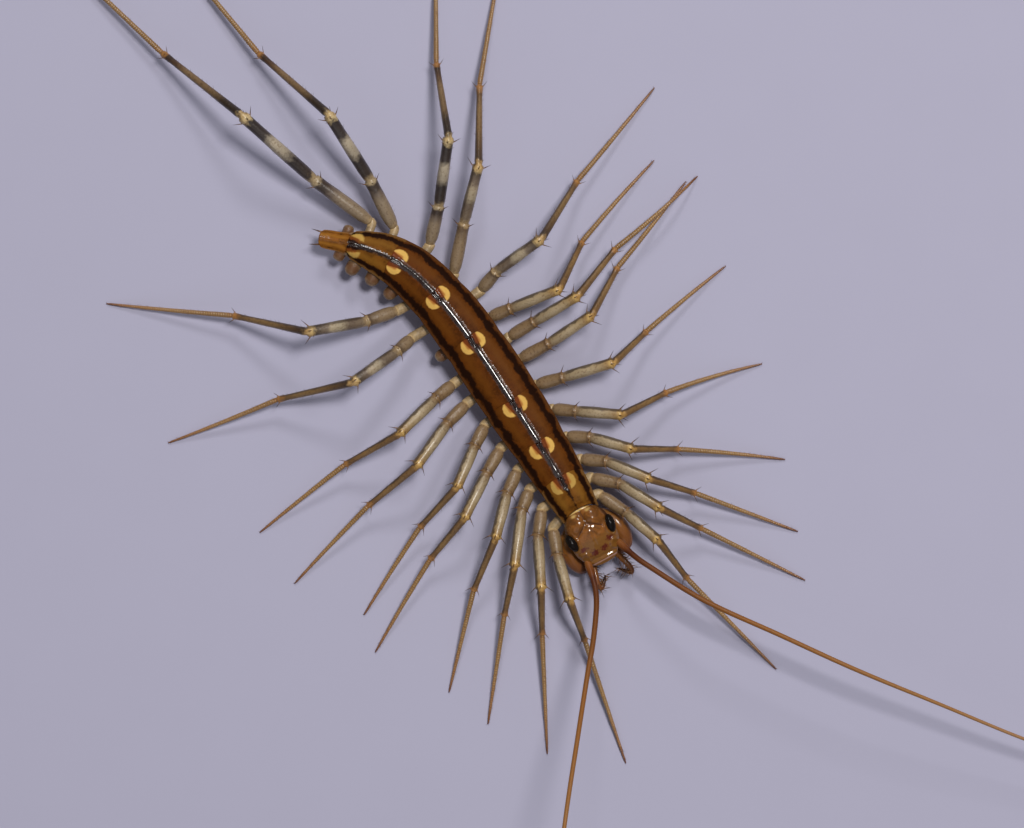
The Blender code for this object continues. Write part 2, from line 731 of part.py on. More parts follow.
def eye_mesh(side, grow, segments, rings):
    """An eye, or the socket that it sits in when it is grown by the gap."""
    sign = side_sign(side)
    out, forward, height = EYE_AT
    radii = [radius + grow for radius in EYE_RADII]
    turn = math.radians(HEAD_TURN - sign * EYE_TOE_IN)
    return ball_mesh("eye", head_point(sign * out, forward, height), radii, turn, segments, rings)


def mouth_cutter():
    """A thin level disc that cuts the line of the mouth under the lip."""
    forward, height = MOUTH_AT
    centre = head_point(0.0, forward, height)
    half = Vector((0.0, 0.0, MOUTH_HEIGHT / 2))
    return cone_mesh("mouth", centre - half, centre + half, MOUTH_RADIUS, MOUTH_RADIUS, 24)


def make_head(collection):
    stubs = []
    for side in ("left", "right"):
        points = antenna_route(side)
        antenna_start = [(points[0], ANTENNA_RADII[0][1]), (points[1], 0.0)]
        stubs.append(stub_mesh(antenna_start, ANTENNA_STUB_DEPTH))
        stubs.append(stub_mesh(mouthpart_stations(PALP_ROUTE, side)))
    mesh = combine("head", head_mesh(), stubs, "UNION")
    cutters = [eye_mesh(side, EYE_GAP, 20, 12) for side in ("left", "right")]
    mesh = combine("head", mesh, cutters + [mouth_cutter()], "DIFFERENCE")
    finish_node(add_object("head", mesh, collection), "head")
    for side in ("left", "right"):
        finish_node(add_object(f"eye_{side}", eye_mesh(side, 0.0, 20, 12), collection), "eye")


def tail_points():
    """The two small points at the end of the tail."""
    end = TRUNK_NODES[-1][1]
    points = []
    for sign in (1.0, -1.0):
        root = trunk_point(end - 0.6, sign * 0.36, 1.95)
        tip = trunk_point(end - 0.6 + TAIL_POINT_LENGTH, sign * 0.62, 1.85)
        points.append(cone_mesh("point", root, tip, TAIL_POINT_RADIUS, 0.05, 6))
    return points


def trunk_slot(name):
    if name == "trunk_1":
        return "front_plate"
    return "tail" if name == "tail" else "plate"


def make_trunk(collection):
    hips = [(row[1], carrying_hip_stations(row)) for row in LEGS]
    hips += [(lost[1], bare_hip_stations(*lost)) for lost in LOST_LEGS]
    front = (0.0, COLLAR_BELLY)
    first_pair = 1
    for (name, back_end, belly_end), last_pair in zip(TRUNK_NODES, LAST_PAIR):
        rear = (back_end, belly_end)
        pieces = [tube_mesh("hip", stations) for pair, stations in hips if first_pair <= pair <= last_pair]
        if name == "trunk_1":
            pieces += [stub_mesh(mouthpart_stations(FORCIPULE_ROUTE, side)) for side in ("left", "right")]
        if name == "tail":
            pieces += tail_points()
        mesh = combine(name, trunk_mesh(name, front, rear), pieces, "UNION")
        finish_node(add_object(name, mesh, collection), trunk_slot(name))
        front = rear
        first_pair = last_pair + 1


def centre_on_floor(collection):
    """Put the origin on the floor under the middle of the whole animal."""
    corners = [vertex.co for item in collection.objects for vertex in item.data.vertices]
    middle = [(min(c[axis] for c in corners) + max(c[axis] for c in corners)) / 2 for axis in (0, 1)]
    for item in collection.objects:
        item.data.transform(Matrix.Translation((-middle[0], -middle[1], 0.0)))
    return middle


def main():
    clear_scene()
    collection = bpy.data.collections.new(OBJECT_NAME)
    bpy.context.scene.collection.children.link(collection)
    make_trunk(collection)
    make_head(collection)
    make_mouthparts(collection)
    make_antennae(collection)
    make_legs(collection)
    middle = centre_on_floor(collection)
    print("middle of the plan, mm:", [round(value / MM, 4) for value in middle])


main()
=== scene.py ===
"""House centipede, life size: its skin, plates, legs, feelers and light.

The animal faces -Y with its back up and its left side at +X. Sizes in this
script are millimetres and degrees, and a finished mesh is turned into metres.
The stage and the sizes that a user can change are in metres.
"""

import math
import random

import bmesh
import bpy
from mathutils import Matrix, Vector, kdtree, noise


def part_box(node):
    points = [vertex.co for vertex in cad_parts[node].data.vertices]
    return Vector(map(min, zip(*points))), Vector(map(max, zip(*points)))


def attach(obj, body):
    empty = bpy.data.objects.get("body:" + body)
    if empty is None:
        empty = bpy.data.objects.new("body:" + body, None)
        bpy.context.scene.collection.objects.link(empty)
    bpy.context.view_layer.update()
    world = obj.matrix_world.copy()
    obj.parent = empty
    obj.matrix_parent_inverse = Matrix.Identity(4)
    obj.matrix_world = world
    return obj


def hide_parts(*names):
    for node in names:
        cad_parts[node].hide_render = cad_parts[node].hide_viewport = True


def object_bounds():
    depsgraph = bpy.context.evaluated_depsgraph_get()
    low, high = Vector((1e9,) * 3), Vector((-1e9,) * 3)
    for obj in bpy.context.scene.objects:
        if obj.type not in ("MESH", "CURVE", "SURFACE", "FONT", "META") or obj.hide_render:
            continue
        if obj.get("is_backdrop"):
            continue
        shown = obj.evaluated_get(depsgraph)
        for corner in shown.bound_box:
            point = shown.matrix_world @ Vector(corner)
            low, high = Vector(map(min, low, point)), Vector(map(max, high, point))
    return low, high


bl_info = {
    "name": "House centipede",
    "version": (1, 0, 0),
    "blender": (4, 5, 0),
    "location": "View3D > Sidebar > Centipede",
    "description": "Builds the skin, plates, legs and feelers of a house centipede",
    "category": "Add Mesh",
}

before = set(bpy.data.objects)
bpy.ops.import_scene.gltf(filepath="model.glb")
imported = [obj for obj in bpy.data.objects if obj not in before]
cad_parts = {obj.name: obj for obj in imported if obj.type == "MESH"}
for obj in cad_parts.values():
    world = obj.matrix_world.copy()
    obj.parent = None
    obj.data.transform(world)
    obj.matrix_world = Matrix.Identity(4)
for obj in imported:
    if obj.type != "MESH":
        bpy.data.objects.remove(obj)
FRAME_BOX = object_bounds()
MM = 0.001
UP = Vector((0.0, 0.0, 1.0))
SIDES = ("left", "right")
# Points of a rolled grid that lie closer than this are one point
WELD = 0.0005

# Bend of the trunk's middle line, by distance back from the collar
TRUNK_BENDS = (
    (0.0, -2.5), (2.0, -2.0), (3.3, -1.5), (6.5, 0.3), (10.8, 0.7),
    (15.4, 4.2), (19.3, 13.7), (22.8, 36.5), (25.8, 46.5), (28.0, 48.0),
)
# Half width of the back, by distance back from the collar
HALF_WIDTHS = (
    (-1.0, 1.4), (0.0, 1.47), (2.0, 1.72), (4.8, 1.92), (8.2, 2.12),
    (13.5, 2.1), (17.4, 1.97), (21.2, 1.75), (22.9, 1.47), (24.6, 1.05),
    (25.8, 0.85), (27.1, 0.55),
)
BACK_HEIGHTS = (
    (0.0, 3.1), (4.8, 3.25), (17.4, 3.25), (21.2, 3.0), (24.6, 2.7), (27.1, 2.15),
)
BELLY_HEIGHTS = ((0.0, 1.35), (21.0, 1.35), (24.6, 1.45), (27.1, 1.6))

# Rear edge of each back plate, on the ridge and down at the belly
PLATE_ENDS = (
    ("plate_1", 2.4, 2.05), ("plate_2", 5.25, 5.5), ("plate_3", 8.7, 9.4),
    ("plate_4", 14.0, 13.1), ("plate_5", 18.0, 17.3), ("plate_6", 21.8, 21.3),
    ("plate_7", 24.95, 24.57), ("plate_8", 27.0, 26.9),
)
COLLAR_BELLY = -0.8
# How far a plate's corners come forward, and its ends draw in
CORNER_ROUND = 0.25
PLATE_PINCH = 0.05
# Share of the back's height that its margins lie lower, and how square it is
MARGIN_DROP = 0.38
ARCH_POWER = 2.6
# Width of the tail's plate as a share of the trunk's
TAIL_PLATE_SHARES = ((24.6, 0.78), (25.8, 0.8), (27.0, 1.12))
# The three plates that differ from the rest, and their own share of the yellow
COLLAR_PLATE, REAR_PLATE, TAIL_PLATE = 1, 7, 8
SADDLE_SHARES = {REAR_PLATE: 0.72, TAIL_PLATE: 0.0}
# Points of a plate: columns across, and rows by their number and spacing
PLATE_COLUMNS = 72
FEWEST_PLATE_ROWS = 24
PLATE_ROW = 0.075
FIRST_OVERLAP = 0.1
# Browns of the first and seventh plates, and of the tail's
GOLDEN = (0.165, 0.06, 0.0075)
TAIL_GOLDEN = (0.25, 0.088, 0.012)

# Distance of each pair of legs back from the collar
LEG_STATIONS = (
    0.25, 1.26, 2.8, 4.55, 6.5, 8.4, 10.4, 12.05,
    14.1, 16.2, 18.3, 20.2, 22.3, 23.85, 25.25,
)
LAST_LEG_PAIR = 14
# Hips: heights and place of their ends, radii, and the neck inside the leg
HIP_HEIGHT = 1.65
HIP_ROOT_HEIGHT = 1.75
HIP_ROOT_SHARE = 0.35
HIP_RADIUS = 0.42
HIP_ROOT_SWELL = 0.08
REAR_HIP_RADIUS = 0.36
HIP_NECK = 0.26
NECK_OVERLAP = 0.12
REAR_HIPS_FROM = 13
# Share of a hip's radius in its skin, and the skin's points and smoothing
HIP_SKIN_SHARE = 0.94
HIP_SPACING = 0.12
HIP_SIDES = 16
SKIN_SMOOTHING = 6

# One row for each leg: side, pair, hip out from and back along the plan, then
# length and forward heading of the prefemur, femur, tibia and tarsus as seen
# from above, how far the tarsus curves, and the height of the knee
LEGS = (
    ("left", 1, 1.75, 0.0, 2.4, 66, 2.9, 74, 3.4, 85, 8.9, 78, 0, 3.2),
    ("left", 2, 1.88, 1.28, 2.15, 44, 3.25, 64, 3.25, 59, 8.15, 59, 0, 3.3),
    ("left", 3, 1.95, 2.75, 1.95, 37, 3.2, 55, 3.4, 50, 7.65, 53, 0, 3.1),
    ("left", 4, 1.95, 4.6, 1.8, 34, 3.0, 48, 3.25, 33, 7.5, 38, 4, 3.2),
    ("left", 5, 2.15, 6.75, 1.8, 37, 3.15, 37, 3.55, 6, 6.95, 16, 8, 3.1),
    ("left", 6, 2.1, 8.75, 2.1, 17, 3.6, 16, 3.2, -11, 7.2, -7, 3, 3.2),
    ("left", 7, 2.1, 10.85, 2.45, 4, 3.5, -1, 3.85, -29, 7.7, -19, -3, 3.3),
    ("left", 8, 2.3, 12.55, 2.2, 1, 3.45, 2, 4.3, -19, 7.65, -9, -7, 3.8),
    ("left", 9, 1.9, 14.45, 1.75, 10, 3.55, 11, 3.75, -32, 7.6, -16, 4, 3.9),
    ("left", 10, 2.4, 16.35, 1.8, -17, 3.8, -3, 4.9, -26, 8.45, -18, -2, 4.2),
    ("left", 11, 1.4, 18.25, 3.8, -46, 4.05, -43, 5.7, -57, 9.7, -48, 0, 4.4),
    ("left", 12, 1.1, 20.9, 2.9, -44, 4.7, -49, 5.4, -67, 10.6, -58, 0, 4.6),
    ("left", 13, -0.3, 23.2, 3.85, -84, 5.25, -90, 6.65, -106, 12.35, -97, 0, 4.8),
    ("left", 14, -1.4, 24.4, 5.05, -111, 6.55, -106, 7.3, -109, 13.75, -104, 0, 5.0),
    ("right", 1, 2.2, -0.3, 1.95, 67, 3.3, 73, 3.0, 78, 9.05, 76, 0, 3.2),
    ("right", 2, 2.1, 1.25, 2.0, 49, 3.65, 61, 3.2, 59, 8.4, 60, 0, 3.3),
    ("right", 3, 2.1, 2.85, 1.6, 37, 3.95, 50, 3.55, 46, 7.65, 49, 0, 3.1),
    ("right", 4, 2.05, 4.45, 1.9, 33, 3.2, 43, 4.0, 35, 7.3, 44, 0, 3.2),
    ("right", 5, 2.25, 6.35, 2.1, 28, 3.45, 31, 3.75, 18, 7.55, 27, 2, 3.1),
    ("right", 6, 2.3, 8.3, 1.75, 31, 3.05, 34, 3.85, 15, 7.25, 25, 2, 3.2),
    ("right", 7, 2.55, 10.25, 2.05, 13, 3.6, 22, 4.45, 7, 7.45, 14, 2, 3.3),
    ("right", 8, 2.6, 11.9, 1.7, 7, 3.45, 12, 4.45, -3, 7.6, 6, 2, 3.7),
    ("right", 10, 3.35, 16.15, 1.45, 10, 3.7, 3, 5.5, -20, 8.2, -11, -3, 4.2),
    ("right", 11, 3.15, 18.3, 2.4, -13, 4.05, -22, 5.45, -45, 8.9, -38, -2, 4.4),
)
# Legs that are lost, down to the bare hip: side, pair, hip out and back, radius
LOST_LEGS = (
    ("right", 9, 2.75, 14.0, 0.45), ("right", 12, 3.45, 19.5, 0.48),
    ("right", 13, 3.95, 20.9, 0.52), ("right", 14, 4.75, 22.3, 0.5),
    ("right", 15, 4.9, 23.55, 0.42), ("left", 15, -2.8, 25.1, 0.4),
)
BARE_HIP_ROUNDING = ((0.0, 1.05), (0.72, 1.0), (0.88, 0.88), (0.97, 0.6), (1.0, 0.3))

# Heights of a leg's places on the first legs and the last
PREFEMUR_HEIGHTS = (2.2, 2.7)
ANKLE_HEIGHTS = (1.3, 1.5)
FOOT_HEIGHT = 0.07
FEMUR_ARCH = 0.12
TARSUS_DROP = 1.25
# The leg whose tarsus stays high for longer
HIGH_TARSUS = ("left", 8)
HIGH_TARSUS_ARCH = 4.0
HIGH_ANKLE = 1.85
# First pairs of legs with faint bands and with strong ones
BANDED_FROM = 10
STRONG_BANDS_FROM = 12

# Legs from the first pair with rear hips are thicker, and upper pieces taller
REAR_LEG_SWELL = 1.06
LEG_TALLNESS = 1.06
LEG_SPACING = 0.13
# Radius of each leg piece along its own length
PREFEMUR_SHAPE = (
    (0.0, 0.28), (0.07, 0.37), (0.17, 0.44), (0.35, 0.465), (0.6, 0.45), (0.82, 0.42),
    (0.93, 0.435), (0.975, 0.42), (1.0, 0.33),
)
FEMUR_SHAPE = (
    (0.0, 0.33), (0.04, 0.37), (0.14, 0.4), (0.4, 0.41), (0.75, 0.375), (0.9, 0.38),
    (0.96, 0.4), (0.985, 0.37), (1.0, 0.27),
)
TIBIA_SHAPE = (
    (0.0, 0.25), (0.04, 0.29), (0.12, 0.27), (0.5, 0.235), (0.85, 0.21), (0.94, 0.235),
    (0.98, 0.235), (1.0, 0.18),
)
TARSUS_SHAPE = (
    (0.0, 0.17), (0.03, 0.19), (0.3, 0.165), (0.6, 0.135), (0.85, 0.1), (0.96, 0.075), (1.0, 0.04),
)
# Places along one ring, and how much it swells there
TARSUS_RING = ((0.0, 0.84), (0.22, 1.0), (0.72, 1.04))
FEELER_RING = ((0.0, 0.9), (0.3, 1.0), (0.75, 1.02))

# The head's own frame starts at the collar and is turned a little
HEAD_TURN = -4.0
HEAD_SECTIONS = (
    (0.14, 1.2, 2.96, 1.75), (0.2, 1.36, 3.0, 1.65), (0.6, 1.52, 3.12, 1.64),
    (1.1, 1.62, 3.18, 1.62), (1.7, 1.66, 3.15, 1.62), (2.3, 1.7, 3.05, 1.65),
    (2.9, 1.68, 2.92, 1.7), (3.4, 1.5, 2.7, 1.75), (3.8, 1.22, 2.5, 1.8),
    (4.1, 0.98, 2.36, 1.85), (4.25, 0.8, 2.25, 1.9), (4.34, 0.45, 2.16, 1.98),
)
HEAD_OUTLINE = (
    (0.0, 1.0), (0.2, 0.99), (0.4, 0.96), (0.6, 0.895), (0.8, 0.775),
    (0.95, 0.6), (1.0, 0.46), (0.96, 0.34), (0.8, 0.22), (0.5, 0.08), (0.0, 0.0),
)
# How far the underside is set forward at the collar, and where that ends
HEAD_LEAN = 0.95
HEAD_LEAN_ENDS = 2.2
HEAD_COLUMNS = 112
# Spacing along the head and along the mouthparts
FINE_SPACING = 0.06
MOUTHPART_SIDES = 26
# An eye's middle in the head's frame, its radii, its turn and its skin's shares
EYE_AT = (1.5, 2.03, 2.62)
EYE_RADII = (0.36, 0.66, 0.42)
EYE_TOE_IN = 8.0
EYE_SHARES = (0.96, 1.0, 1.1)
# An eye's facets: fineness of their grid and of the skin, their bulge and size
FACET_FINENESS, EYE_FINENESS = 4, 6
FACET_BULGE = 0.014
FACET_SIZE = 0.08

# Start of each feeler, and length, forward heading and rise of each stretch
ANTENNA_STARTS = {"left": (1.22, -3.83, 2.42), "right": (1.52, -3.93, 2.42)}
ANTENNA_ROUTES = {
    "left": (
        (1.54, 74, 38), (1.4, 67, 26), (4.6, 64, 14), (5.7, 57, 3), (5.8, 57, -1),
        (6.4, 55, -6), (6.4, 55, -8), (6.5, 52, -8), (6.2, 48, -6),
    ),
    "right": (
        (0.8, 76, 34), (1.26, 70, 24), (1.55, 58, 36), (2.55, 51, 33), (2.2, 47, 30),
        (2.8, 48, 28), (2.95, 48, 33), (3.25, 48, 29), (3.2, 49, 24), (6.0, 50, 14),
        (7.0, 54, 2), (6.0, 58, -8), (5.1, 62, -14),
    ),
}
ANTENNA_SHAPE = (
    (0.0, 0.24), (0.01, 0.28), (0.022, 0.25), (0.034, 0.205), (0.1, 0.195), (0.3, 0.17),
    (0.7, 0.12), (1.0, 0.05),
)
ANTENNA_PARTS = ("base", "middle", "tip")
ANTENNA_SPACING = 0.08
ANTENNA_SIDES = 12
# How far a feeler starts inside the head, and the radius of its far end
ANTENNA_SUNK = 0.45
FEELER_END = 0.03

# Routes in the head's frame: out, forward, height and radius at each point
FORCIPULE_ROUTE = (
    (0.8, 0.75, 1.3, 0.3), (1.1, 1.1, 1.22, 0.42), (1.7, 1.7, 1.2, 0.54), (1.95, 2.4, 1.2, 0.6),
    (1.98, 3.12, 1.12, 0.58), (1.76, 3.82, 0.92, 0.48), (1.15, 4.1, 0.6, 0.27),
    (0.6, 4.15, 0.52, 0.15), (0.25, 3.95, 0.52, 0.05),
)
PALP_ROUTE = (
    (0.52, 2.95, 1.75, 0.22), (0.62, 3.2, 1.36, 0.24), (0.72, 3.45, 1.18, 0.24),
    (0.92, 4.15, 1.27, 0.22), (1.12, 4.8, 1.4, 0.2), (1.28, 5.4, 1.42, 0.19),
    (1.2, 5.78, 1.35, 0.17), (0.85, 5.5, 1.2, 0.14), (0.52, 5.12, 1.05, 0.05),
)
# Mouthparts: name, route, height as a share of width, and the solid's name
MOUTHPARTS = (("claw", FORCIPULE_ROUTE, 0.9, "forcipule"), ("feeding_palp", PALP_ROUTE, 1.0, "palp"))

# Size of one photo pixel, and the pixels of the collar and the photo's middle
PIXEL = 0.07
COLLAR_PIXEL = (576.8, 507.0)
PICTURE_MIDDLE = (512.0, 414.0)
# Turn of the body from the picture's right, downwards
BODY_HEADING = 57.5
PICTURE_WIDTH = 1024
SENSOR_WIDTH = 36.0
CAMERA_REACH = (0.01, 10.0)

# The stage, whose places and sizes are metres
FLOOR_DROP = 0.00003
FLOOR_SQUARES = 8
# Lights: name, place, size, power and colour
LIGHTS = (
    ("key", (0.15, 0.035, 0.46), 0.09, 1.45, (1.0, 0.98, 0.95)),
    ("side", (0.22, 0.34, 0.375), 0.1, 0.62, (1.0, 1.0, 1.0)),
    ("fill", (-0.3, -0.25, 0.4), 0.5, 0.32, (0.93, 0.96, 1.0)),
)
SKY_COLOUR = (0.86, 0.88, 1.0, 1.0)
SKY_STRENGTH = 0.13


class CentipedeBodySettings(bpy.types.PropertyGroup):
    """Sizes and colours of the body."""

    voxel: bpy.props.FloatProperty(
        name="Skin detail", description="Size of the skin's finest facet",
        default=0.00007, unit="LENGTH", precision=6)
    plate_thickness: bpy.props.FloatProperty(
        name="Plate thickness", description="Thickness of a back plate",
        default=0.00009, unit="LENGTH", precision=6)
    plate_overlap: bpy.props.FloatProperty(
        name="Plate overlap", description="How far a back plate reaches under the one in front",
        default=0.00035, unit="LENGTH", precision=6)
    plate_colour: bpy.props.FloatVectorProperty(
        name="Plate", description="Brown of the back plates", size=3, subtype="COLOR",
        default=(0.1, 0.027, 0.003), min=0.0, max=1.0)
    saddle_colour: bpy.props.FloatVectorProperty(
        name="Saddle", description="Yellow of the spots at each plate's rear edge", size=3,
        subtype="COLOR", default=(0.82, 0.49, 0.12), min=0.0, max=1.0)
    skin_colour: bpy.props.FloatVectorProperty(
        name="Skin", description="Tan of the flanks and hips", size=3, subtype="COLOR",
        default=(0.36, 0.25, 0.13), min=0.0, max=1.0)
    head_colour: bpy.props.FloatVectorProperty(
        name="Head", description="Orange-brown of the head", size=3, subtype="COLOR",
        default=(0.235, 0.082, 0.0125), min=0.0, max=1.0)


class CentipedeLegSettings(bpy.types.PropertyGroup):
    """Sizes of the legs and feelers."""

    leg_sides: bpy.props.IntProperty(
        name="Leg sides", description="Facets round a leg", default=18, min=6)
    ring_length: bpy.props.FloatProperty(
        name="Tarsus ring", description="Length of one ring of the tarsus",
        default=0.00017, unit="LENGTH", precision=6)
    feeler_ring: bpy.props.FloatProperty(
        name="Feeler ring", description="Length of one ring of a feeler",
        default=0.00014, unit="LENGTH", precision=6)
    bristle_spacing: bpy.props.FloatProperty(
        name="Bristle spacing", description="Distance between the bristles of a leg",
        default=0.00011, unit="LENGTH", precision=6)


class CentipedeStageSettings(bpy.types.PropertyGroup):
    """Floor, lights and camera."""

    floor_colour: bpy.props.FloatVectorProperty(
        name="Floor", description="Colour of the floor", size=3, subtype="COLOR",
        default=(0.46, 0.445, 0.57), min=0.0, max=1.0)
    floor_size: bpy.props.FloatProperty(
        name="Floor size", description="Side of the floor", default=3.0, unit="LENGTH")
    camera_height: bpy.props.FloatProperty(
        name="Camera height", description="Height of the camera over the floor",
        default=0.42, unit="LENGTH")


def between(table, place, ease=False):
    """Read a value from a table of (place, value) rows, straight between rows."""
    if place <= table[0][0]:
        return table[0][1]
    for (place_a, value_a), (place_b, value_b) in zip(table, table[1:]):
        if place <= place_b:
            share = (place - place_a) / (place_b - place_a)
            if ease:
                share = step(place_a, place_b, place)
            return value_a + share * (value_b - value_a)
    return table[-1][1]


def eased(table, place):
    """Read a value from a table of (place, value) rows, eased between rows."""
    return between(table, place, ease=True)


def step(low, high, value):
    """A smooth step from 0 at low to 1 at high."""
    share = min(1.0, max(0.0, (value - low) / (high - low)))
    return share * share * (3.0 - 2.0 * share)


def hump(distance, width):
    """A smooth hump that is 1 in its middle."""
    return math.exp(-(distance / width) ** 2)


def spot(across, along, width, length):
    """A smooth round hump, with its own width and length."""
    return hump(math.hypot(across / width, along / length), 1.0)


def side_sign(side):
    """1 on the left and -1 on the right."""
    return 1.0 if side == "left" else -1.0


def trunk_frame(back):
    """Place and direction of the middle line at a distance back from the collar."""
    x, y = 0.0, 0.0
    direction = 1.0 if back >= 0 else -1.0
    walked = 0.0
    while walked < abs(back):
        piece = min(0.1, abs(back) - walked)
        bend = math.radians(between(TRUNK_BENDS, direction * (walked + piece / 2)))
        x -= math.sin(bend) * piece * direction
        y += math.cos(bend) * piece * direction
        walked += piece
    return Vector((x, y, 0.0)), math.radians(between(TRUNK_BENDS, back))


TRUNK_LOW, TRUNK_HIGH, TRUNK_STEP = -2.0, 29.0, 0.05
TRUNK_PLACES = [
    trunk_frame(TRUNK_LOW + index * TRUNK_STEP)
    for index in range(round((TRUNK_HIGH - TRUNK_LOW) / TRUNK_STEP) + 1)
]


def trunk_point(back, out, height):
    """A point of the trunk: distance back, distance out to the left, height."""
    index = (back - TRUNK_LOW) / TRUNK_STEP
    low = min(len(TRUNK_PLACES) - 2, max(0, int(index)))
    (centre_a, bend_a), (centre_b, bend_b) = TRUNK_PLACES[low:low + 2]
    share = index - low
    centre = centre_a.lerp(centre_b, share)
    bend = bend_a + share * (bend_b - bend_a)
    return centre + Vector((math.cos(bend) * out, math.sin(bend) * out, height))


def head_point(out, forward, height):
    """A point in the head's own frame."""
    turn = math.radians(HEAD_TURN)
    x = math.cos(turn) * out + math.sin(turn) * forward
    y = math.sin(turn) * out - math.cos(turn) * forward
    return Vector((x, y, height))


def eye_place(side):
    """Middle of an eye."""
    out, forward, height = EYE_AT
    return head_point(side_sign(side) * out, forward, height)


def frame_shift():
    """Where this script's own origin lies in the frame, read from the eyes."""
    shifts = []
    for side in SIDES:
        low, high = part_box(f"eye_{side}")
        shifts.append((low + high) / (2 * MM) - eye_place(side))
    return (shifts[0] + shifts[1]) / 2


SHIFT = frame_shift()


def smooth_route(points, spacing):
    """Points along a smooth curve through the route's own points."""
    padded = [points[0]] + list(points) + [points[-1]]
    result = []
    for a, b, c, d in zip(padded, padded[1:], padded[2:], padded[3:]):
        count = max(1, round(math.dist(b[:3], c[:3]) / spacing))
        for index in range(count):
            result.append(spline_point(a, b, c, d, index / count))
    result.append(list(points[-1]))
    return result


def spline_point(a, b, c, d, t):
    """A point between b and c on a smooth curve through all four."""
    mixed = []
    for pa, pb, pc, pd in zip(a, b, c, d):
        bend = (2 * pa - 5 * pb + 4 * pc - pd) * t * t + (3 * pb - pa - 3 * pc + pd) * t ** 3
        mixed.append(0.5 * (2 * pb + (pc - pa) * t + bend))
    return mixed


def bare_mesh(builder, name):
    """Turn a bmesh into a mesh as it is."""
    mesh = bpy.data.meshes.new(name)
    builder.to_mesh(mesh)
    builder.free()
    return mesh


def mesh_of(builder, name):
    """Turn a bmesh into a mesh with its faces pointing out."""
    bmesh.ops.recalc_face_normals(builder, faces=builder.faces)
    return bare_mesh(builder, name)


def closed_mesh(builder, name):
    """Weld a grid that was rolled into a tube, close its ends and make it a mesh."""
    bmesh.ops.remove_doubles(builder, verts=builder.verts, dist=WELD)
    open_edges = [edge for edge in builder.edges if edge.is_boundary]
    ends = bmesh.ops.holes_fill(builder, edges=open_edges, sides=0)
    bmesh.ops.poke(builder, faces=ends["faces"])
    return mesh_of(builder, name)


def joined(meshes, name):
    """Put several meshes into one and remove them."""
    builder = bmesh.new()
    for mesh in meshes:
        builder.from_mesh(mesh)
        bpy.data.meshes.remove(mesh)
    return bare_mesh(builder, name)


def new_object(name, data):
    """Put data into the scene as an object."""
    item = bpy.data.objects.new(name, data)
    bpy.context.scene.collection.objects.link(item)
    return item


def finder(places):
    """A tree that finds the nearest of some places by its number."""
    tree = kdtree.KDTree(len(places))
    for index, place in enumerate(places):
        tree.insert(place, index)
    tree.balance()
    return tree


def add_piece(mesh, material, slot, replaced=()):
    """Put a finished mesh, made in millimetres, in its place in the frame."""
    mesh.transform(Matrix.Scale(MM, 4) @ Matrix.Translation(SHIFT))
    mesh.materials.clear()
    mesh.materials.append(material)
    mesh.shade_smooth()
    piece = new_object(mesh.name, mesh)
    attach(piece, "root")
    if replaced:
        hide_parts(*replaced)


def add_layers(builder, names):
    """Number layers of a bmesh, which have to be there before its points."""
    for name in names:
        builder.verts.layers.float.new(name)
    return [builder.verts.layers.float[name] for name in names]


def grid_points(builder, columns, rows):
    """Each point of a new flat grid, with its column and row."""
    grid = bmesh.ops.create_grid(builder, x_segments=columns, y_segments=rows, size=0.5)
    for vertex in grid["verts"]:
        yield vertex, round((vertex.co.x + 0.5) * columns), round((vertex.co.y + 0.5) * rows)


def ring_frames(places):
    """Direction, side and up at each place along a line."""
    frames = []
    last = len(places) - 1
    for index in range(last + 1):
        along = (places[min(last, index + 1)] - places[max(0, index - 1)]).normalized()
        up = (UP - along * along.z).normalized()
        frames.append((along, along.cross(up), up))
    return frames


def tube(name, stations, sides, rear=1.0):
    """A closed tube through stations of (place, wide, high, along, groove).

    Its points keep how far along they are, how high round the tube, how far to
    its rear side and whether they lie in a groove, for the materials.
    """
    builder = bmesh.new()
    names = ("along", "upper", "rear", "groove")
    along_layer, upper_layer, rear_layer, groove_layer = add_layers(builder, names)
    frames = ring_frames([station[0] for station in stations])
    for vertex, _, row in grid_points(builder, sides, len(stations) - 1):
        turn = (vertex.co.x + 0.5) * 2 * math.pi
        place, wide, high, along, groove = stations[row]
        side, up = frames[row][1:]
        vertex.co = place + side * (math.cos(turn) * wide) + up * (math.sin(turn) * high)
        vertex[along_layer] = along
        vertex[upper_layer] = math.sin(turn)
        vertex[rear_layer] = math.cos(turn) * rear
        vertex[groove_layer] = groove
    return closed_mesh(builder, name)


def aim(direction):
    """A turn that lays +Z along a direction."""
    return direction.to_track_quat("Z", "Y").to_matrix().to_4x4()


def spine_mesh(sides, bend):
    """A spine one long and one thick at its root, bent towards its own side."""
    builder = bmesh.new()
    bmesh.ops.create_cone(
        builder, cap_ends=True, cap_tris=True, segments=sides, radius1=1.0, radius2=0.1,
        depth=1.0, matrix=Matrix.Translation((0.0, 0.0, 0.5)))
    rising = [
        edge for edge in builder.edges if abs(edge.verts[0].co.z - edge.verts[1].co.z) > 0.5
    ]
    bmesh.ops.subdivide_edges(builder, edges=rising, cuts=2)
    tip_layer = builder.verts.layers.float.new("tip")
    for vertex in builder.verts:
        vertex[tip_layer] = vertex.co.z
        vertex.co.y += bend * vertex.co.z ** 2
    bmesh.ops.triangulate(builder, faces=builder.faces)
    return mesh_of(builder, "spine")


def spines(name, placements, sides, bend):
    """Many spines in one mesh, from rows of (root, direction, length, radius)."""
    template = spine_mesh(sides, bend)
    builder = bmesh.new()
    for root, direction, length, radius in placements:
        spine = template.copy()
        shape = Matrix.Diagonal((radius, radius, length, 1.0))
        spine.transform(Matrix.Translation(root) @ aim(direction) @ shape)
        builder.from_mesh(spine)
        bpy.data.meshes.remove(spine)
    bpy.data.meshes.remove(template)
    return bare_mesh(builder, name)


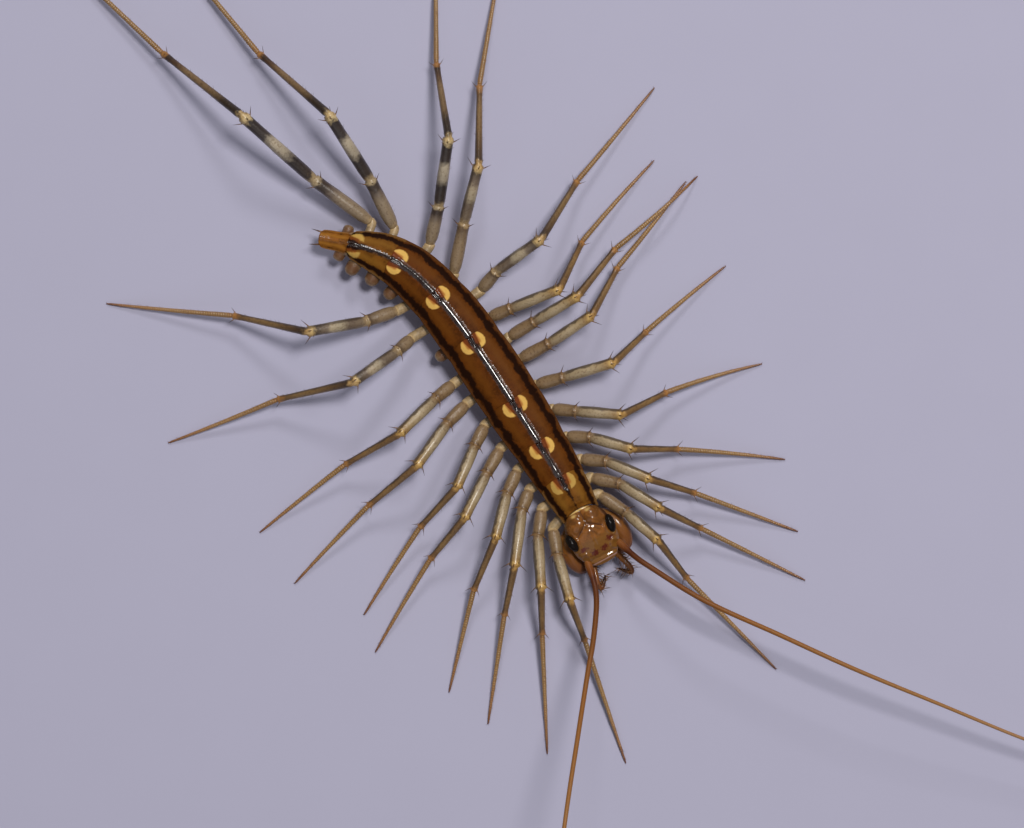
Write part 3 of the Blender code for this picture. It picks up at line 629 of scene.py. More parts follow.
COAT_ROUGHNESS = 0.12


class Painter:
    """Lays nodes for one procedural finish, reading the piece's own coordinates."""

    def __init__(self, name, roughness, coat=0.0, specular=0.5):
        self.material = bpy.data.materials.new(name)
        self.material.use_nodes = True
        self.nodes = self.material.node_tree.nodes
        self.links = self.material.node_tree.links
        self.shader = self.nodes["Principled BSDF"]
        self.fill(self.shader, Roughness=roughness, Coat_Weight=coat)
        self.fill(self.shader, Coat_Roughness=COAT_ROUGHNESS, Specular_IOR_Level=specular)
        self.place = self.nodes.new("ShaderNodeTexCoord").outputs["Object"]

    def feed(self, socket, value):
        """Give a socket a number, a colour of three numbers, or another socket."""
        if isinstance(value, bpy.types.NodeSocket):
            self.links.new(value, socket)
        elif isinstance(value, tuple):
            socket.default_value = (*value, 1.0)
        else:
            socket.default_value = value

    def fill(self, node, **values):
        """Feed a node's inputs by name, with _ for a space in the name."""
        for name, value in values.items():
            self.feed(node.inputs[name.replace("_", " ")], value)
        return node

    def noise(self, size, detail=3.0, distortion=0.0):
        """Noise whose patches are about one size, in millimetres, across."""
        node = self.fill(self.nodes.new("ShaderNodeTexNoise"), Vector=self.place)
        self.fill(node, Scale=1.0 / (size * MM), Detail=detail, Distortion=distortion)
        return node.outputs["Fac"]

    def cells(self, size):
        """Distance to the nearest of many points about one size apart."""
        node = self.nodes.new("ShaderNodeTexVoronoi")
        self.fill(node, Vector=self.place, Scale=1.0 / (size * MM))
        return node.outputs["Distance"]

    def wobble(self, amount, size, detail=3.0):
        """Noise spread evenly about zero."""
        centred = self.maths("SUBTRACT", self.noise(size, detail), 0.5)
        return self.maths("MULTIPLY", centred, amount)

    def attribute(self, name):
        """A value that the mesh keeps at its points."""
        node = self.nodes.new("ShaderNodeAttribute")
        node.attribute_name = name
        return node.outputs["Fac"]

    def maths(self, operation, first, second):
        """One sum of two values, each a socket or a number."""
        node = self.nodes.new("ShaderNodeMath")
        node.operation = operation
        self.feed(node.inputs[0], first)
        self.feed(node.inputs[1], second)
        return node.outputs[0]

    def spread(self, value, low, high, to_low=0.0, to_high=1.0):
        """Spread a value between two limits, smoothly."""
        node = self.nodes.new("ShaderNodeMapRange")
        node.interpolation_type = "SMOOTHSTEP"
        self.fill(node, Value=value, From_Min=low, From_Max=high, To_Min=to_low, To_Max=to_high)
        return node.outputs[0]

    def patches(self, size, low, high, detail=3.0, distortion=0.0):
        """Noise made into patches with soft edges between two limits."""
        return self.spread(self.noise(size, detail, distortion), low, high)

    def mix(self, share, first, second, blend="MIX"):
        """Mix two colours, each a colour socket or three numbers."""
        node = self.nodes.new("ShaderNodeMix")
        node.data_type = "RGBA"
        node.blend_type = blend
        self.feed(node.inputs["Factor"], share)
        self.feed(node.inputs[6], first)
        self.feed(node.inputs[7], second)
        return node.outputs[2]

    def weighted(self, share, weight, first, second):
        """Mix two colours by a share that is made weaker."""
        return self.mix(self.maths("MULTIPLY", share, weight), first, second)

    def ramp(self, value, stops):
        """Colours by value, from rows of (value, colour)."""
        node = self.fill(self.nodes.new("ShaderNodeValToRGB"), Fac=value)
        elements = node.color_ramp.elements
        while len(elements) < len(stops):
            elements.new(0.5)
        for element, (position, colour) in zip(elements, stops):
            element.position = position
            element.color = (*colour, 1.0)
        return node.outputs["Color"]

    def mark(self, colour, name, marking, edge=0.12, ragged=0.25, size=0.12):
        """Lay a marking over a colour where an attribute passes one half."""
        value = self.maths("ADD", self.attribute(name), self.wobble(ragged, size))
        return self.mix(self.spread(value, 0.5 - edge, 0.5 + edge), colour, marking)

    def bump(self, height, depth, previous=None):
        """Raise the surface by a height from 0 to 1, depth millimetres deep."""
        node = self.nodes.new("ShaderNodeBump")
        self.fill(node, Height=height, Distance=depth * MM, Strength=1.0)
        if previous:
            self.fill(node, Normal=previous)
        return node.outputs["Normal"]

    def finish(self, colour, normal=None, rough=None):
        """Join the colour, and the relief and roughness if given, to the shader."""
        self.fill(self.shader, Base_Color=colour)
        if normal:
            self.fill(self.shader, Normal=normal)
        if rough:
            self.fill(self.shader, Roughness=rough)
        return self.material


def scaled(colour, factor):
    """A colour made brighter or darker."""
    return tuple(min(1.0, channel * factor) for channel in colour)


def tinted(colour, shares):
    """A colour with a share of its own for each channel."""
    return tuple(channel * share for channel, share in zip(colour, shares))


def plate_material(name, base, saddle):
    """Waxy brown shell with dark stripes, yellow saddles, a pale margin and a paler band, which is
    darker at each plate's front as painted shade under the plate ahead.
    """
    paint = Painter(name, 0.4)
    broad = paint.patches(0.9, 0.35, 0.65, 4.0, 0.6)
    colour = paint.mix(broad, scaled(base, 0.62), scaled(base, 1.1))
    colour = paint.weighted(paint.patches(0.16, 0.4, 0.75), 0.35, colour, scaled(base, 1.6))
    # Paler band on each half of the plate; where the band value is lowered at the plate's front, the
    # darker colour is painted shade under the plate ahead
    colour = paint.mark(colour, "band", tinted(base, (1.3, 1.5, 1.6)), 0.45, 0.7, 0.5)
    colour = paint.mark(colour, "margin", tinted(base, (0.95, 1.25, 3.0)), 0.2, 0.6, 0.3)
    colour = paint.mark(colour, "warm", (0.17, 0.04, 0.008), 0.3, 0.3, 0.3)
    colour = paint.mark(colour, "dark", (0.016, 0.005, 0.0022), 0.2, 0.85, 0.26)
    yellow = paint.mix(paint.noise(0.3), scaled(saddle, 0.8), saddle)
    yellow = paint.mix(paint.spread(paint.attribute("warm"), 0.1, 0.8), yellow, (0.42, 0.16, 0.035))
    colour = paint.mark(colour, "saddle", yellow, 0.16, 0.3, 0.16)
    dimples = paint.bump(paint.cells(0.13), 0.005)
    waves = paint.bump(paint.noise(0.35, 2.0), 0.018, dimples)
    speckled = paint.maths("ADD", paint.attribute("polish"), paint.wobble(0.9, 0.09, 2.0))
    shine = paint.spread(speckled, 0.25, 0.75)
    paint.fill(paint.shader, Coat_Weight=paint.maths("MULTIPLY", shine, 0.9))
    paint.fill(paint.shader, Specular_IOR_Level=paint.spread(shine, 0.0, 1.0, 0.04, 0.5))
    return paint.finish(colour, waves, paint.spread(shine, 0.0, 1.0, 0.5, 0.2))


def skin_material(skin):
    """Tan skin of the flanks, with pale hips that are darker at their root."""
    paint = Painter("flank_skin", 0.42, coat=0.15)
    blotch = paint.patches(0.5, 0.35, 0.7, 4.0, 0.5)
    colour = paint.mix(blotch, scaled(skin, 0.7), scaled(skin, 1.25))
    colour = paint.mark(colour, "brown", (0.14, 0.06, 0.022), 0.3, 0.5, 0.3)
    colour = paint.mark(colour, "bright", (0.62, 0.43, 0.2), 0.35, 0.4, 0.14)
    folds = paint.bump(paint.noise(0.12, 3.0), 0.02)
    return paint.finish(colour, paint.bump(paint.noise(0.4, 2.0), 0.04, folds))


def hip_radius(pair):
    """Radius of a hip, which is finer at the rear."""
    return REAR_HIP_RADIUS if pair >= REAR_HIPS_FROM else HIP_RADIUS


def hip_ends(side, pair, out, back):
    """Root of a hip inside the trunk, and its far end."""
    sign = side_sign(side)
    station = LEG_STATIONS[pair - 1]
    root_out = sign * HIP_ROOT_SHARE * between(HALF_WIDTHS, station)
    return trunk_point(station, root_out, HIP_ROOT_HEIGHT), Vector((sign * out, back, HIP_HEIGHT))


def heading_step(side, length, heading):
    """A step on the floor plan, out to one side and turned forward."""
    angle = math.radians(heading)
    return Vector((side * math.cos(angle) * length, -math.sin(angle) * length, 0.0))


def leg_joints(row):
    """The leg's hip, prefemur end, knee and ankle, and whether its tarsus is high."""
    side, pair, out, back, *pose = row
    sign = side_sign(side)
    rearward = (pair - 1) / (LAST_LEG_PAIR - 1)
    hip = Vector((sign * out, back, HIP_HEIGHT))
    prefemur_end = hip + heading_step(sign, pose[0], pose[1])
    prefemur_end.z = PREFEMUR_HEIGHTS[0] + rearward * (PREFEMUR_HEIGHTS[1] - PREFEMUR_HEIGHTS[0])
    knee = prefemur_end + heading_step(sign, pose[2], pose[3])
    knee.z = pose[9]
    ankle = knee + heading_step(sign, pose[4], pose[5])
    ankle.z = ANKLE_HEIGHTS[0] + rearward * (ANKLE_HEIGHTS[1] - ANKLE_HEIGHTS[0])
    high = (side, pair) == HIGH_TARSUS
    if high:
        ankle.z = HIGH_ANKLE
    return hip, prefemur_end, knee, ankle, high


def shares(table, length, spacing):
    """Evenly spaced shares of a length, with those of a table's own rows."""
    count = max(2, round(length / spacing))
    found = [index / count for index in range(count + 1)]
    for share, _ in table:
        if min(abs(share - other) for other in found) > 0.3 / count:
            found.append(share)
    return sorted(found)


def tarsus_place(row, ankle, high, share):
    """A place along the tarsus, which curves and comes down to the floor."""
    sign = side_sign(row[0])
    length, heading, curve = row[10], row[11], row[12]
    arch = HIGH_TARSUS_ARCH if high else 1.0
    place = ankle + heading_step(sign, length * share, heading + curve * (share - 1.0) / 2)
    fall = (1.0 - share ** arch) ** TARSUS_DROP
    place.z = FOOT_HEIGHT + (ankle.z - FOOT_HEIGHT) * fall
    return place


def leg_line(row, ring_length):
    """Stations of a leg's tube from the hip to the claw.

    Along counts the leg's pieces: 0 to 1 on the prefemur, to 2 on the femur, to
    3 on the tibia and to 4 on the tarsus.
    """
    hip, prefemur_end, knee, ankle, high = leg_joints(row)
    start = hip + (prefemur_end - hip).normalized() * (HIP_NECK - NECK_OVERLAP)
    thick = 1.0 if row[1] < REAR_HIPS_FROM else REAR_LEG_SWELL
    stations = []
    pieces = (
        (start, prefemur_end, PREFEMUR_SHAPE), (prefemur_end, knee, FEMUR_SHAPE),
        (knee, ankle, TIBIA_SHAPE),
    )
    for index, (near, far, shape) in enumerate(pieces):
        for share in shares(shape, (far - near).length, LEG_SPACING)[:-1]:
            place = near.lerp(far, share)
            if index == 1:
                place.z += FEMUR_ARCH * 4 * share * (1 - share)
            radius = eased(shape, share) * thick
            stations.append((place, radius, radius * LEG_TALLNESS, index + share, 0.0))
    for share, swell, groove in ringed(round(row[10] / ring_length), TARSUS_RING):
        radius = eased(TARSUS_SHAPE, share) * thick * swell
        place = tarsus_place(row, ankle, high, share)
        stations.append((place, radius, radius, 3 + share, groove))
    radius = TARSUS_SHAPE[-1][1]
    stations.append((tarsus_place(row, ankle, high, 1.0), radius, radius, 4.0, 0.0))
    return stations


# Colours along a front leg, by the same count of its pieces
PLAIN_LEG = (
    (0.0, (0.5, 0.33, 0.16)), (0.1, (0.275, 0.175, 0.09)), (0.5, (0.25, 0.16, 0.08)),
    (0.84, (0.225, 0.138, 0.063)), (0.93, (0.13, 0.07, 0.03)), (0.97, (0.27, 0.15, 0.055)),
    (1.03, (0.25, 0.155, 0.075)), (1.12, (0.31, 0.225, 0.125)), (1.5, (0.42, 0.32, 0.19)),
    (1.78, (0.35, 0.24, 0.115)), (1.88, (0.34, 0.2, 0.07)), (1.94, (0.62, 0.4, 0.13)),
    (1.99, (0.5, 0.28, 0.075)), (2.05, (0.19, 0.1, 0.032)), (2.3, (0.18, 0.1, 0.035)),
    (2.6, (0.24, 0.135, 0.045)), (2.86, (0.16, 0.08, 0.025)), (2.95, (0.4, 0.18, 0.045)),
    (3.03, (0.31, 0.17, 0.055)), (3.5, (0.38, 0.21, 0.07)), (3.85, (0.33, 0.15, 0.05)),
    (4.0, (0.16, 0.05, 0.02)),
)
# Colours along a rear leg, which is banded
BANDED_LEG = (
    (0.0, (0.42, 0.29, 0.15)), (0.12, (0.26, 0.185, 0.11)), (0.55, (0.26, 0.19, 0.12)),
    (0.7, (0.14, 0.1, 0.07)), (0.8, (0.055, 0.036, 0.025)), (0.9, (0.05, 0.032, 0.022)),
    (0.95, (0.4, 0.3, 0.17)), (1.03, (0.38, 0.27, 0.14)), (1.09, (0.05, 0.034, 0.025)),
    (1.3, (0.03, 0.021, 0.018)), (1.4, (0.34, 0.28, 0.2)), (1.58, (0.46, 0.38, 0.27)),
    (1.68, (0.05, 0.036, 0.03)), (1.88, (0.03, 0.02, 0.016)), (1.93, (0.62, 0.47, 0.24)),
    (1.99, (0.55, 0.38, 0.17)), (2.04, (0.03, 0.018, 0.01)), (2.2, (0.035, 0.02, 0.01)),
    (2.36, (0.16, 0.095, 0.04)), (2.66, (0.21, 0.13, 0.06)), (2.8, (0.09, 0.045, 0.02)),
    (2.91, (0.035, 0.018, 0.01)), (2.96, (0.4, 0.18, 0.045)), (3.05, (0.31, 0.17, 0.06)),
    (3.5, (0.36, 0.21, 0.08)), (3.85, (0.33, 0.16, 0.065)), (4.0, (0.18, 0.06, 0.02)),
)
# Colours along a leg between the two, whose bands are faint
FAINT_LEG = (
    (0.0, (0.42, 0.29, 0.15)), (0.12, (0.265, 0.18, 0.1)), (0.6, (0.25, 0.17, 0.095)),
    (0.8, (0.18, 0.12, 0.068)), (0.9, (0.12, 0.072, 0.038)), (0.95, (0.4, 0.27, 0.13)),
    (1.03, (0.36, 0.25, 0.13)), (1.1, (0.19, 0.135, 0.085)), (1.32, (0.15, 0.105, 0.07)),
    (1.44, (0.36, 0.29, 0.19)), (1.6, (0.43, 0.34, 0.22)), (1.7, (0.2, 0.145, 0.1)),
    (1.86, (0.1, 0.07, 0.045)), (1.93, (0.62, 0.43, 0.18)), (1.99, (0.52, 0.32, 0.12)),
    (2.05, (0.06, 0.034, 0.016)), (2.2, (0.1, 0.055, 0.022)), (2.4, (0.19, 0.11, 0.04)),
    (2.7, (0.22, 0.13, 0.05)), (2.86, (0.14, 0.075, 0.028)), (2.95, (0.4, 0.18, 0.045)),
    (3.05, (0.31, 0.17, 0.06)), (3.5, (0.38, 0.21, 0.075)), (3.85, (0.34, 0.16, 0.06)),
    (4.0, (0.18, 0.06, 0.02)),
)
LEG_PIECES = 4.0


def ringed(rings, swells):
    """Share along, swelling and groove of each station of a line of rings."""
    for ring in range(rings):
        for part, swell in swells:
            yield (ring + part) / rings, swell, 0.0 if part else 1.0


def leg_material(name, stops, streak):
    """Satin leg with rings of colour, a dark streak along its rear and mottling."""
    paint = Painter(name, 0.36, coat=0.2)
    along = paint.maths("ADD", paint.attribute("along"), paint.wobble(0.16, 0.35))
    share = paint.maths("DIVIDE", along, LEG_PIECES)
    colour = paint.ramp(share, [(value / LEG_PIECES, tint) for value, tint in stops])
    mottled = paint.patches(0.14, 0.5, 0.72, 4.0)
    darker = paint.mix(mottled, (1.0, 1.0, 1.0), (0.62, 0.55, 0.5))
    colour = paint.mix(1.0, colour, darker, "MULTIPLY")
    on_upper_pieces = paint.spread(paint.attribute("along"), 1.02, 1.14)
    off_tarsus = paint.spread(paint.attribute("along"), 2.9, 2.97, 1.0, 0.0)
    upper = paint.maths("MULTIPLY", paint.attribute("upper"), 0.25)
    rear = paint.maths("ADD", paint.attribute("rear"), upper)
    rear = paint.spread(paint.maths("ADD", rear, paint.wobble(0.7, 0.5, 2.0)), 0.62, 0.85)
    stripe = paint.maths("MULTIPLY", paint.maths("MULTIPLY", on_upper_pieces, off_tarsus), rear)
    colour = paint.weighted(stripe, streak, colour, (0.03, 0.018, 0.01))
    colour = paint.weighted(paint.attribute("groove"), 0.6, colour, (0.09, 0.04, 0.015))
    grain = paint.bump(paint.noise(0.06, 2.0), 0.012)
    return paint.finish(colour, paint.bump(paint.cells(0.2), 0.012, grain))


def spine_material():
    """Spines that are orange-brown at the root and dark at the tip."""
    paint = Painter("spine", 0.35)
    tip = paint.maths("ADD", paint.attribute("tip"), paint.maths("MULTIPLY", paint.noise(0.2), 0.2))
    colour = paint.ramp(tip, [
        (0.1, (0.42, 0.21, 0.07)), (0.45, (0.13, 0.055, 0.02)), (0.9, (0.03, 0.014, 0.008)),
    ])
    return paint.finish(colour, paint.bump(paint.noise(0.05), 0.006))


# Half outline of the flesh under the plates, from the ridge to the belly
CORE_OUTLINE = (
    (0.0, 0.9), (0.5, 0.84), (0.84, 0.66), (0.9, 0.55), (0.86, 0.44), (0.78, 0.3),
    (0.6, 0.1), (0.0, 0.0),
)


# The flesh's front, and the spacing and number of its rings
CORE_FRONT = -0.35
CORE_SPACING = 0.2
CORE_ROWS = 135


def body_height(back, up):
    """Height at a share of the way from the belly up to the ridge."""
    belly = between(BELLY_HEIGHTS, back)
    return belly + up * (between(BACK_HEIGHTS, back) - belly)


def trunk_core():
    """Closed tube of the trunk's flesh, under the plates."""
    builder = bmesh.new()
    half = len(CORE_OUTLINE) - 1
    for vertex, column, row in grid_points(builder, 2 * half, CORE_ROWS):
        back = CORE_FRONT + row * CORE_SPACING
        across, up = CORE_OUTLINE[column if column <= half else 2 * half - column]
        sign = 1.0 if column <= half else -1.0
        front_end = min(1.0, 0.45 + 0.55 * step(-0.5, 0.6, back))
        ends = front_end * (1.0 - 0.3 * step(24.7, 26.2, back))
        fold = 1.0 + 0.035 * math.sin(back * 7.0) * step(0.6, 0.2, up)
        width = between(HALF_WIDTHS, back) * ends * fold
        vertex.co = trunk_point(back, sign * across * width, body_height(back, up))
    return closed_mesh(builder, "trunk_core")


def hip_lines():
    """Each hip as whether it carries a leg, and its stations of (place, radius)."""
    hips = []
    for row in LEGS:
        root, end = hip_ends(*row[:4])
        prefemur_end = leg_joints(row)[1]
        along = (prefemur_end - end).normalized()
        radius = hip_radius(row[1]) * HIP_SKIN_SHARE
        stations = [
            (root, radius + HIP_ROOT_SWELL), (root.lerp(end, 0.55), radius * 0.96),
            (end, radius), (end + along * HIP_NECK * 0.75, radius * 0.94),
            (end + along * HIP_NECK, radius * 0.7),
        ]
        hips.append((True, stations))
    for side, pair, out, back, radius in LOST_LEGS:
        root, end = hip_ends(side, pair, out, back)
        stations = [(root.lerp(end, share), radius * size) for share, size in BARE_HIP_ROUNDING]
        hips.append((False, stations))
    return hips


def remeshed(mesh, voxel, smoothing):
    """One closed, even skin round overlapping closed shapes."""
    name = mesh.name
    item = new_object(name, mesh)
    even = item.modifiers.new("even", "REMESH")
    even.mode = "VOXEL"
    even.voxel_size = voxel
    soften = item.modifiers.new("soften", "SMOOTH")
    soften.factor = 0.5
    soften.iterations = smoothing
    bpy.context.view_layer.update()
    seen = item.evaluated_get(bpy.context.evaluated_depsgraph_get())
    result = bpy.data.meshes.new_from_object(seen)
    bpy.data.objects.remove(item, do_unlink=True)
    bpy.data.meshes.remove(mesh)
    result.name = name
    return result


def paint_skin(mesh, hips):
    """Keep on the skin how bright a hip is near its end and where it is brown."""
    places, labels = [], []
    for carries, stations in hips:
        for index, (place, _) in enumerate(stations):
            places.append(place)
            labels.append((carries, index / (len(stations) - 1)))
    tree = finder(places)
    bright = mesh.attributes.new("bright", "FLOAT", "POINT")
    brown = mesh.attributes.new("brown", "FLOAT", "POINT")
    for index, vertex in enumerate(mesh.vertices):
        _, found, distance = tree.find(vertex.co)
        carries, share = labels[found]
        near = step(0.75, 0.5, distance)
        bright.data[index].value = near * share * (0.75 if carries else 0.3)
        high = step(1.5, 2.2, vertex.co.z)
        bare = 0.0 if carries else 0.42 * near
        brown.data[index].value = 0.5 * high * (1.0 - near * share) + bare


class CENTIPEDE_OT_body_skin(bpy.types.Operator):
    """Build the skin of the flanks, belly and hips as one piece"""

    bl_idname = "centipede.body_skin"
    bl_label = "Body skin"

    def execute(self, context):
        settings = context.scene.centipede_body
        hips = hip_lines()
        meshes = [trunk_core()]
        for _, stations in hips:
            route = smooth_route([(*place, radius) for place, radius in stations], HIP_SPACING)
            rings = [(Vector(row[:3]), row[3], row[3], 0.0, 0.0) for row in route]
            meshes.append(tube("hip", rings, HIP_SIDES))
        mesh = remeshed(joined(meshes, "body_skin"), settings.voxel / MM, SKIN_SMOOTHING)
        paint_skin(mesh, hips)
        nodes = [f"trunk_{number}" for number in range(1, 8)] + ["tail"]
        add_piece(mesh, skin_material(settings.skin_colour), "plate", nodes)
        return {"FINISHED"}


def arch(across):
    """Share of the way from the belly to the ridge at a share across the back."""
    return 1.0 - MARGIN_DROP * abs(across) ** ARCH_POWER


def joint_back(row, across):
    """Distance back of a plate's edge at a share across the back."""
    _, ridge_end, belly_end = row
    return belly_end + (ridge_end - belly_end) * arch(across) - CORNER_ROUND * across ** 4


def saddle_mark(out, fore):
    """How far inside the yellow half moon beside the ridge a point of a plate is."""
    outer = 1.0 - math.hypot((abs(out) - 0.4) / 0.51, (fore - 0.52) / 0.58)
    inner = (abs(out) - 0.54 + 0.2 * fore) * 2.2
    return min(1.0, max(0.0, 0.5 + min(outer, inner) * 1.6))


def plate_relief(out, across, fore, rear_width):
    """Height of the plate's own relief over its smooth arch."""
    slit = -0.12 * hump(out, 0.05) * step(0.75, 0.55, fore)
    lips = 0.05 * hump(abs(out) - 0.13, 0.09) * step(0.9, 0.4, fore)
    swell = 0.05 * hump(abs(out) - 0.5, 0.32) * hump(fore - 0.55, 0.5)
    rim = 0.04 * step(0.93, 0.985, abs(across)) + 0.03 * step(0.1, 0.0, fore)
    keel = 0.085 * hump(out, 0.19)
    return (slit + lips + swell) * rear_width + rim + keel


def stripe_width(number, fore):
    """Half width of the dark stripe over the ridge of a plate."""
    if number == COLLAR_PLATE:
        return 0.02 + 0.17 * step(2.1, 0.6, fore)
    if number == REAR_PLATE:
        return 0.16 + 0.16 * step(1.6, 0.2, fore)
    if number == TAIL_PLATE:
        return 0.3 * step(1.0, 1.6, fore) - 0.3
    return 0.2


def plate_mesh(number, front, rear, overlap, thickness):
    """One back plate, arched, lifted at its rear and notched over the ridge."""
    saddle = SADDLE_SHARES.get(number, 1.0)
    builder = bmesh.new()
    rows = max(FEWEST_PLATE_ROWS, round((rear[1] - front[1]) / PLATE_ROW))
    names = ("dark", "saddle", "margin", "warm", "polish", "band")
    dark, yellow, margin, warm, polish, band = add_layers(builder, names)
    grid = bmesh.ops.create_grid(builder, x_segments=PLATE_COLUMNS, y_segments=rows, size=1.0)
    for vertex in grid["verts"]:
        across, share = vertex.co.x, (vertex.co.y + 1.0) / 2
        start = joint_back(front, across) - overlap
        notch = 0.16 * hump(across, 0.1) * saddle
        end = joint_back(rear, across) + 0.08 - notch
        back = start + share * (end - start)
        fore = end - back
        height = body_height(back, arch(across))
        pinch = 1.0 - PLATE_PINCH * abs(2 * share - 1) ** 3
        out = across * between(HALF_WIDTHS, back) * pinch
        if number == TAIL_PLATE:
            out *= between(TAIL_PLATE_SHARES, back)
        tuck = 0.13 * step(0.45, 0.0, back - start)
        lift = 0.09 * step(0.9, 0.0, fore)
        relief = plate_relief(out, across, fore, saddle)
        ripple = 0.02 * noise.noise(Vector((out * 1.3, back * 1.3, 0.0)))
        vertex.co = trunk_point(back, out, height - tuck + lift + relief + ripple)
        edge = abs(across)
        middle = 0.5 + (stripe_width(number, fore) - abs(out)) * 2.2
        half = 1.0 if across > 0 else -1.0
        wave = noise.noise(Vector((back * 0.9, 4.0 * half, 0.0)))
        swell = noise.noise(Vector((back * 1.7, 9.0 * half, 0.0)))
        side = 0.5 + (0.112 + 0.06 * swell - abs(edge - 0.78 - 0.08 * wave)) * 4.5
        if number == TAIL_PLATE:
            side -= 0.5
        vertex[dark] = max(0.0, middle, side)
        vertex[yellow] = saddle_mark(out, fore) * saddle
        vertex[margin] = 0.5 + (edge - 0.9) * 5.0
        # Paler band along each half, lowered over the front of the plate under the rear edge of the
        # plate ahead as painted shade
        vertex[band] = 0.38 + (0.17 - abs(edge - 0.46)) * 2.6 - 0.35 * step(0.45, 0.0, share)
        vertex[warm] = 0.9 * step(0.72, 0.4, abs(out)) * step(0.95, 0.6, fore) * saddle
        shines = {COLLAR_PLATE: step(1.1, 0.8, fore), REAR_PLATE: 0.55, TAIL_PLATE: 0.5}
        vertex[polish] = hump(out, 0.28) * shines.get(number, 1.0)
    bmesh.ops.solidify(builder, geom=builder.faces[:], thickness=thickness)
    return mesh_of(builder, rear[0])


class CENTIPEDE_OT_back_plates(bpy.types.Operator):
    """Build the overlapping plates of the back"""

    bl_idname = "centipede.back_plates"
    bl_label = "Back plates"

    def execute(self, context):
        settings = context.scene.centipede_body
        base, saddle = tuple(settings.plate_colour), tuple(settings.saddle_colour)
        brown = plate_material("plate_brown", base, saddle)
        golden = plate_material("plate_golden", GOLDEN, scaled(saddle, 0.7))
        tail = plate_material("plate_tail", TAIL_GOLDEN, scaled(saddle, 0.7))
        coats = {COLLAR_PLATE: golden, REAR_PLATE: golden, TAIL_PLATE: tail}
        front = ("collar", 0.0, COLLAR_BELLY)
        for number, rear in enumerate(PLATE_ENDS, start=1):
            overlap = settings.plate_overlap / MM if number > COLLAR_PLATE else FIRST_OVERLAP
            mesh = plate_mesh(number, front, rear, overlap, settings.plate_thickness / MM)
            slot = {COLLAR_PLATE: "front_plate", TAIL_PLATE: "tail"}.get(number, "plate")
            add_piece(mesh, coats.get(number, brown), slot)
            front = rear
        return {"FINISHED"}


def full_outline(half):
    """A closed outline from its half: down the left side and up the right."""
    return list(half) + [(-across, up) for across, up in reversed(half[1:-1])]


def closed_curve(points, count):
    """Evenly counted points on a smooth closed curve through points."""
    total = len(points)
    result = []
    for index in range(count):
        whole = index * total / count
        low = int(whole)
        four = [points[(low + offset) % total] for offset in (-1, 0, 1, 2)]
        result.append(spline_point(*four, whole - low))
    return result


def line_distance(x, y, start, end):
    """Distance from a point to a straight line between two ends."""
    px, py = x - start[0], y - start[1]
    dx, dy = end[0] - start[0], end[1] - start[1]
    share = min(1.0, max(0.0, (px * dx + py * dy) / (dx * dx + dy * dy)))
    return math.hypot(px - share * dx, py - share * dy)


# The three grooves that meet behind the middle of the head, each by its ends
SULCUS_FORK = (0.0, 1.2)
SULCUS_LINES = (((0.0, 0.3), SULCUS_FORK), (SULCUS_FORK, (0.95, 1.86)), (SULCUS_FORK, (-0.95, 1.86)))


def eye_distance(out, forward):
    """Distance from an eye's middle as a share of its size, on the plan."""
    turn = math.radians(EYE_TOE_IN)
    x, y = abs(out) - EYE_AT[0], forward - EYE_AT[1]
    x, y = x * math.cos(turn) + y * math.sin(turn), y * math.cos(turn) - x * math.sin(turn)
    return math.hypot(x / EYE_RADII[0], y / EYE_RADII[1])


def head_relief(out, forward):
    """Relief of the top of the head: domes, grooves, rims and knobs."""
    dome_place = math.hypot((abs(out) - 0.76) / 0.68, (forward - 1.0) / 0.72)
    domes = 0.2 * max(0.0, 1.0 - dome_place ** 2) ** 0.7
    groove = 0.0
    for start, end in SULCUS_LINES:
        distance = line_distance(out, forward, start, end)
        groove = min(groove, -0.08 * hump(distance, 0.09))
    crease = noise.noise(Vector((out * 5.5, forward * 5.5, 1.0)))
    brow = (0.07 + 0.05 * crease) * spot(out, forward - 2.2, 0.42, 0.6)
    pit = -0.04 * spot(out, forward - 2.5, 0.08, 0.3)
    eye_rim = 0.07 * hump(eye_distance(out, forward) - 1.18, 0.16)
    socket = 0.1 * hump(math.hypot(abs(out) - 1.2, forward - 3.42) - 0.3, 0.12)
    lip = 0.05 * hump(forward - 3.98, 0.1) - 0.045 * hump(forward - 3.76, 0.09)
    cheek = -0.05 * spot(abs(out) - 0.75, forward - 2.9, 0.3, 0.4)
    wrinkle = 0.018 * noise.noise(Vector((out * 2.6, forward * 2.6, 3.0)))
    return domes + groove + brow + pit + eye_rim + socket + lip + cheek + wrinkle


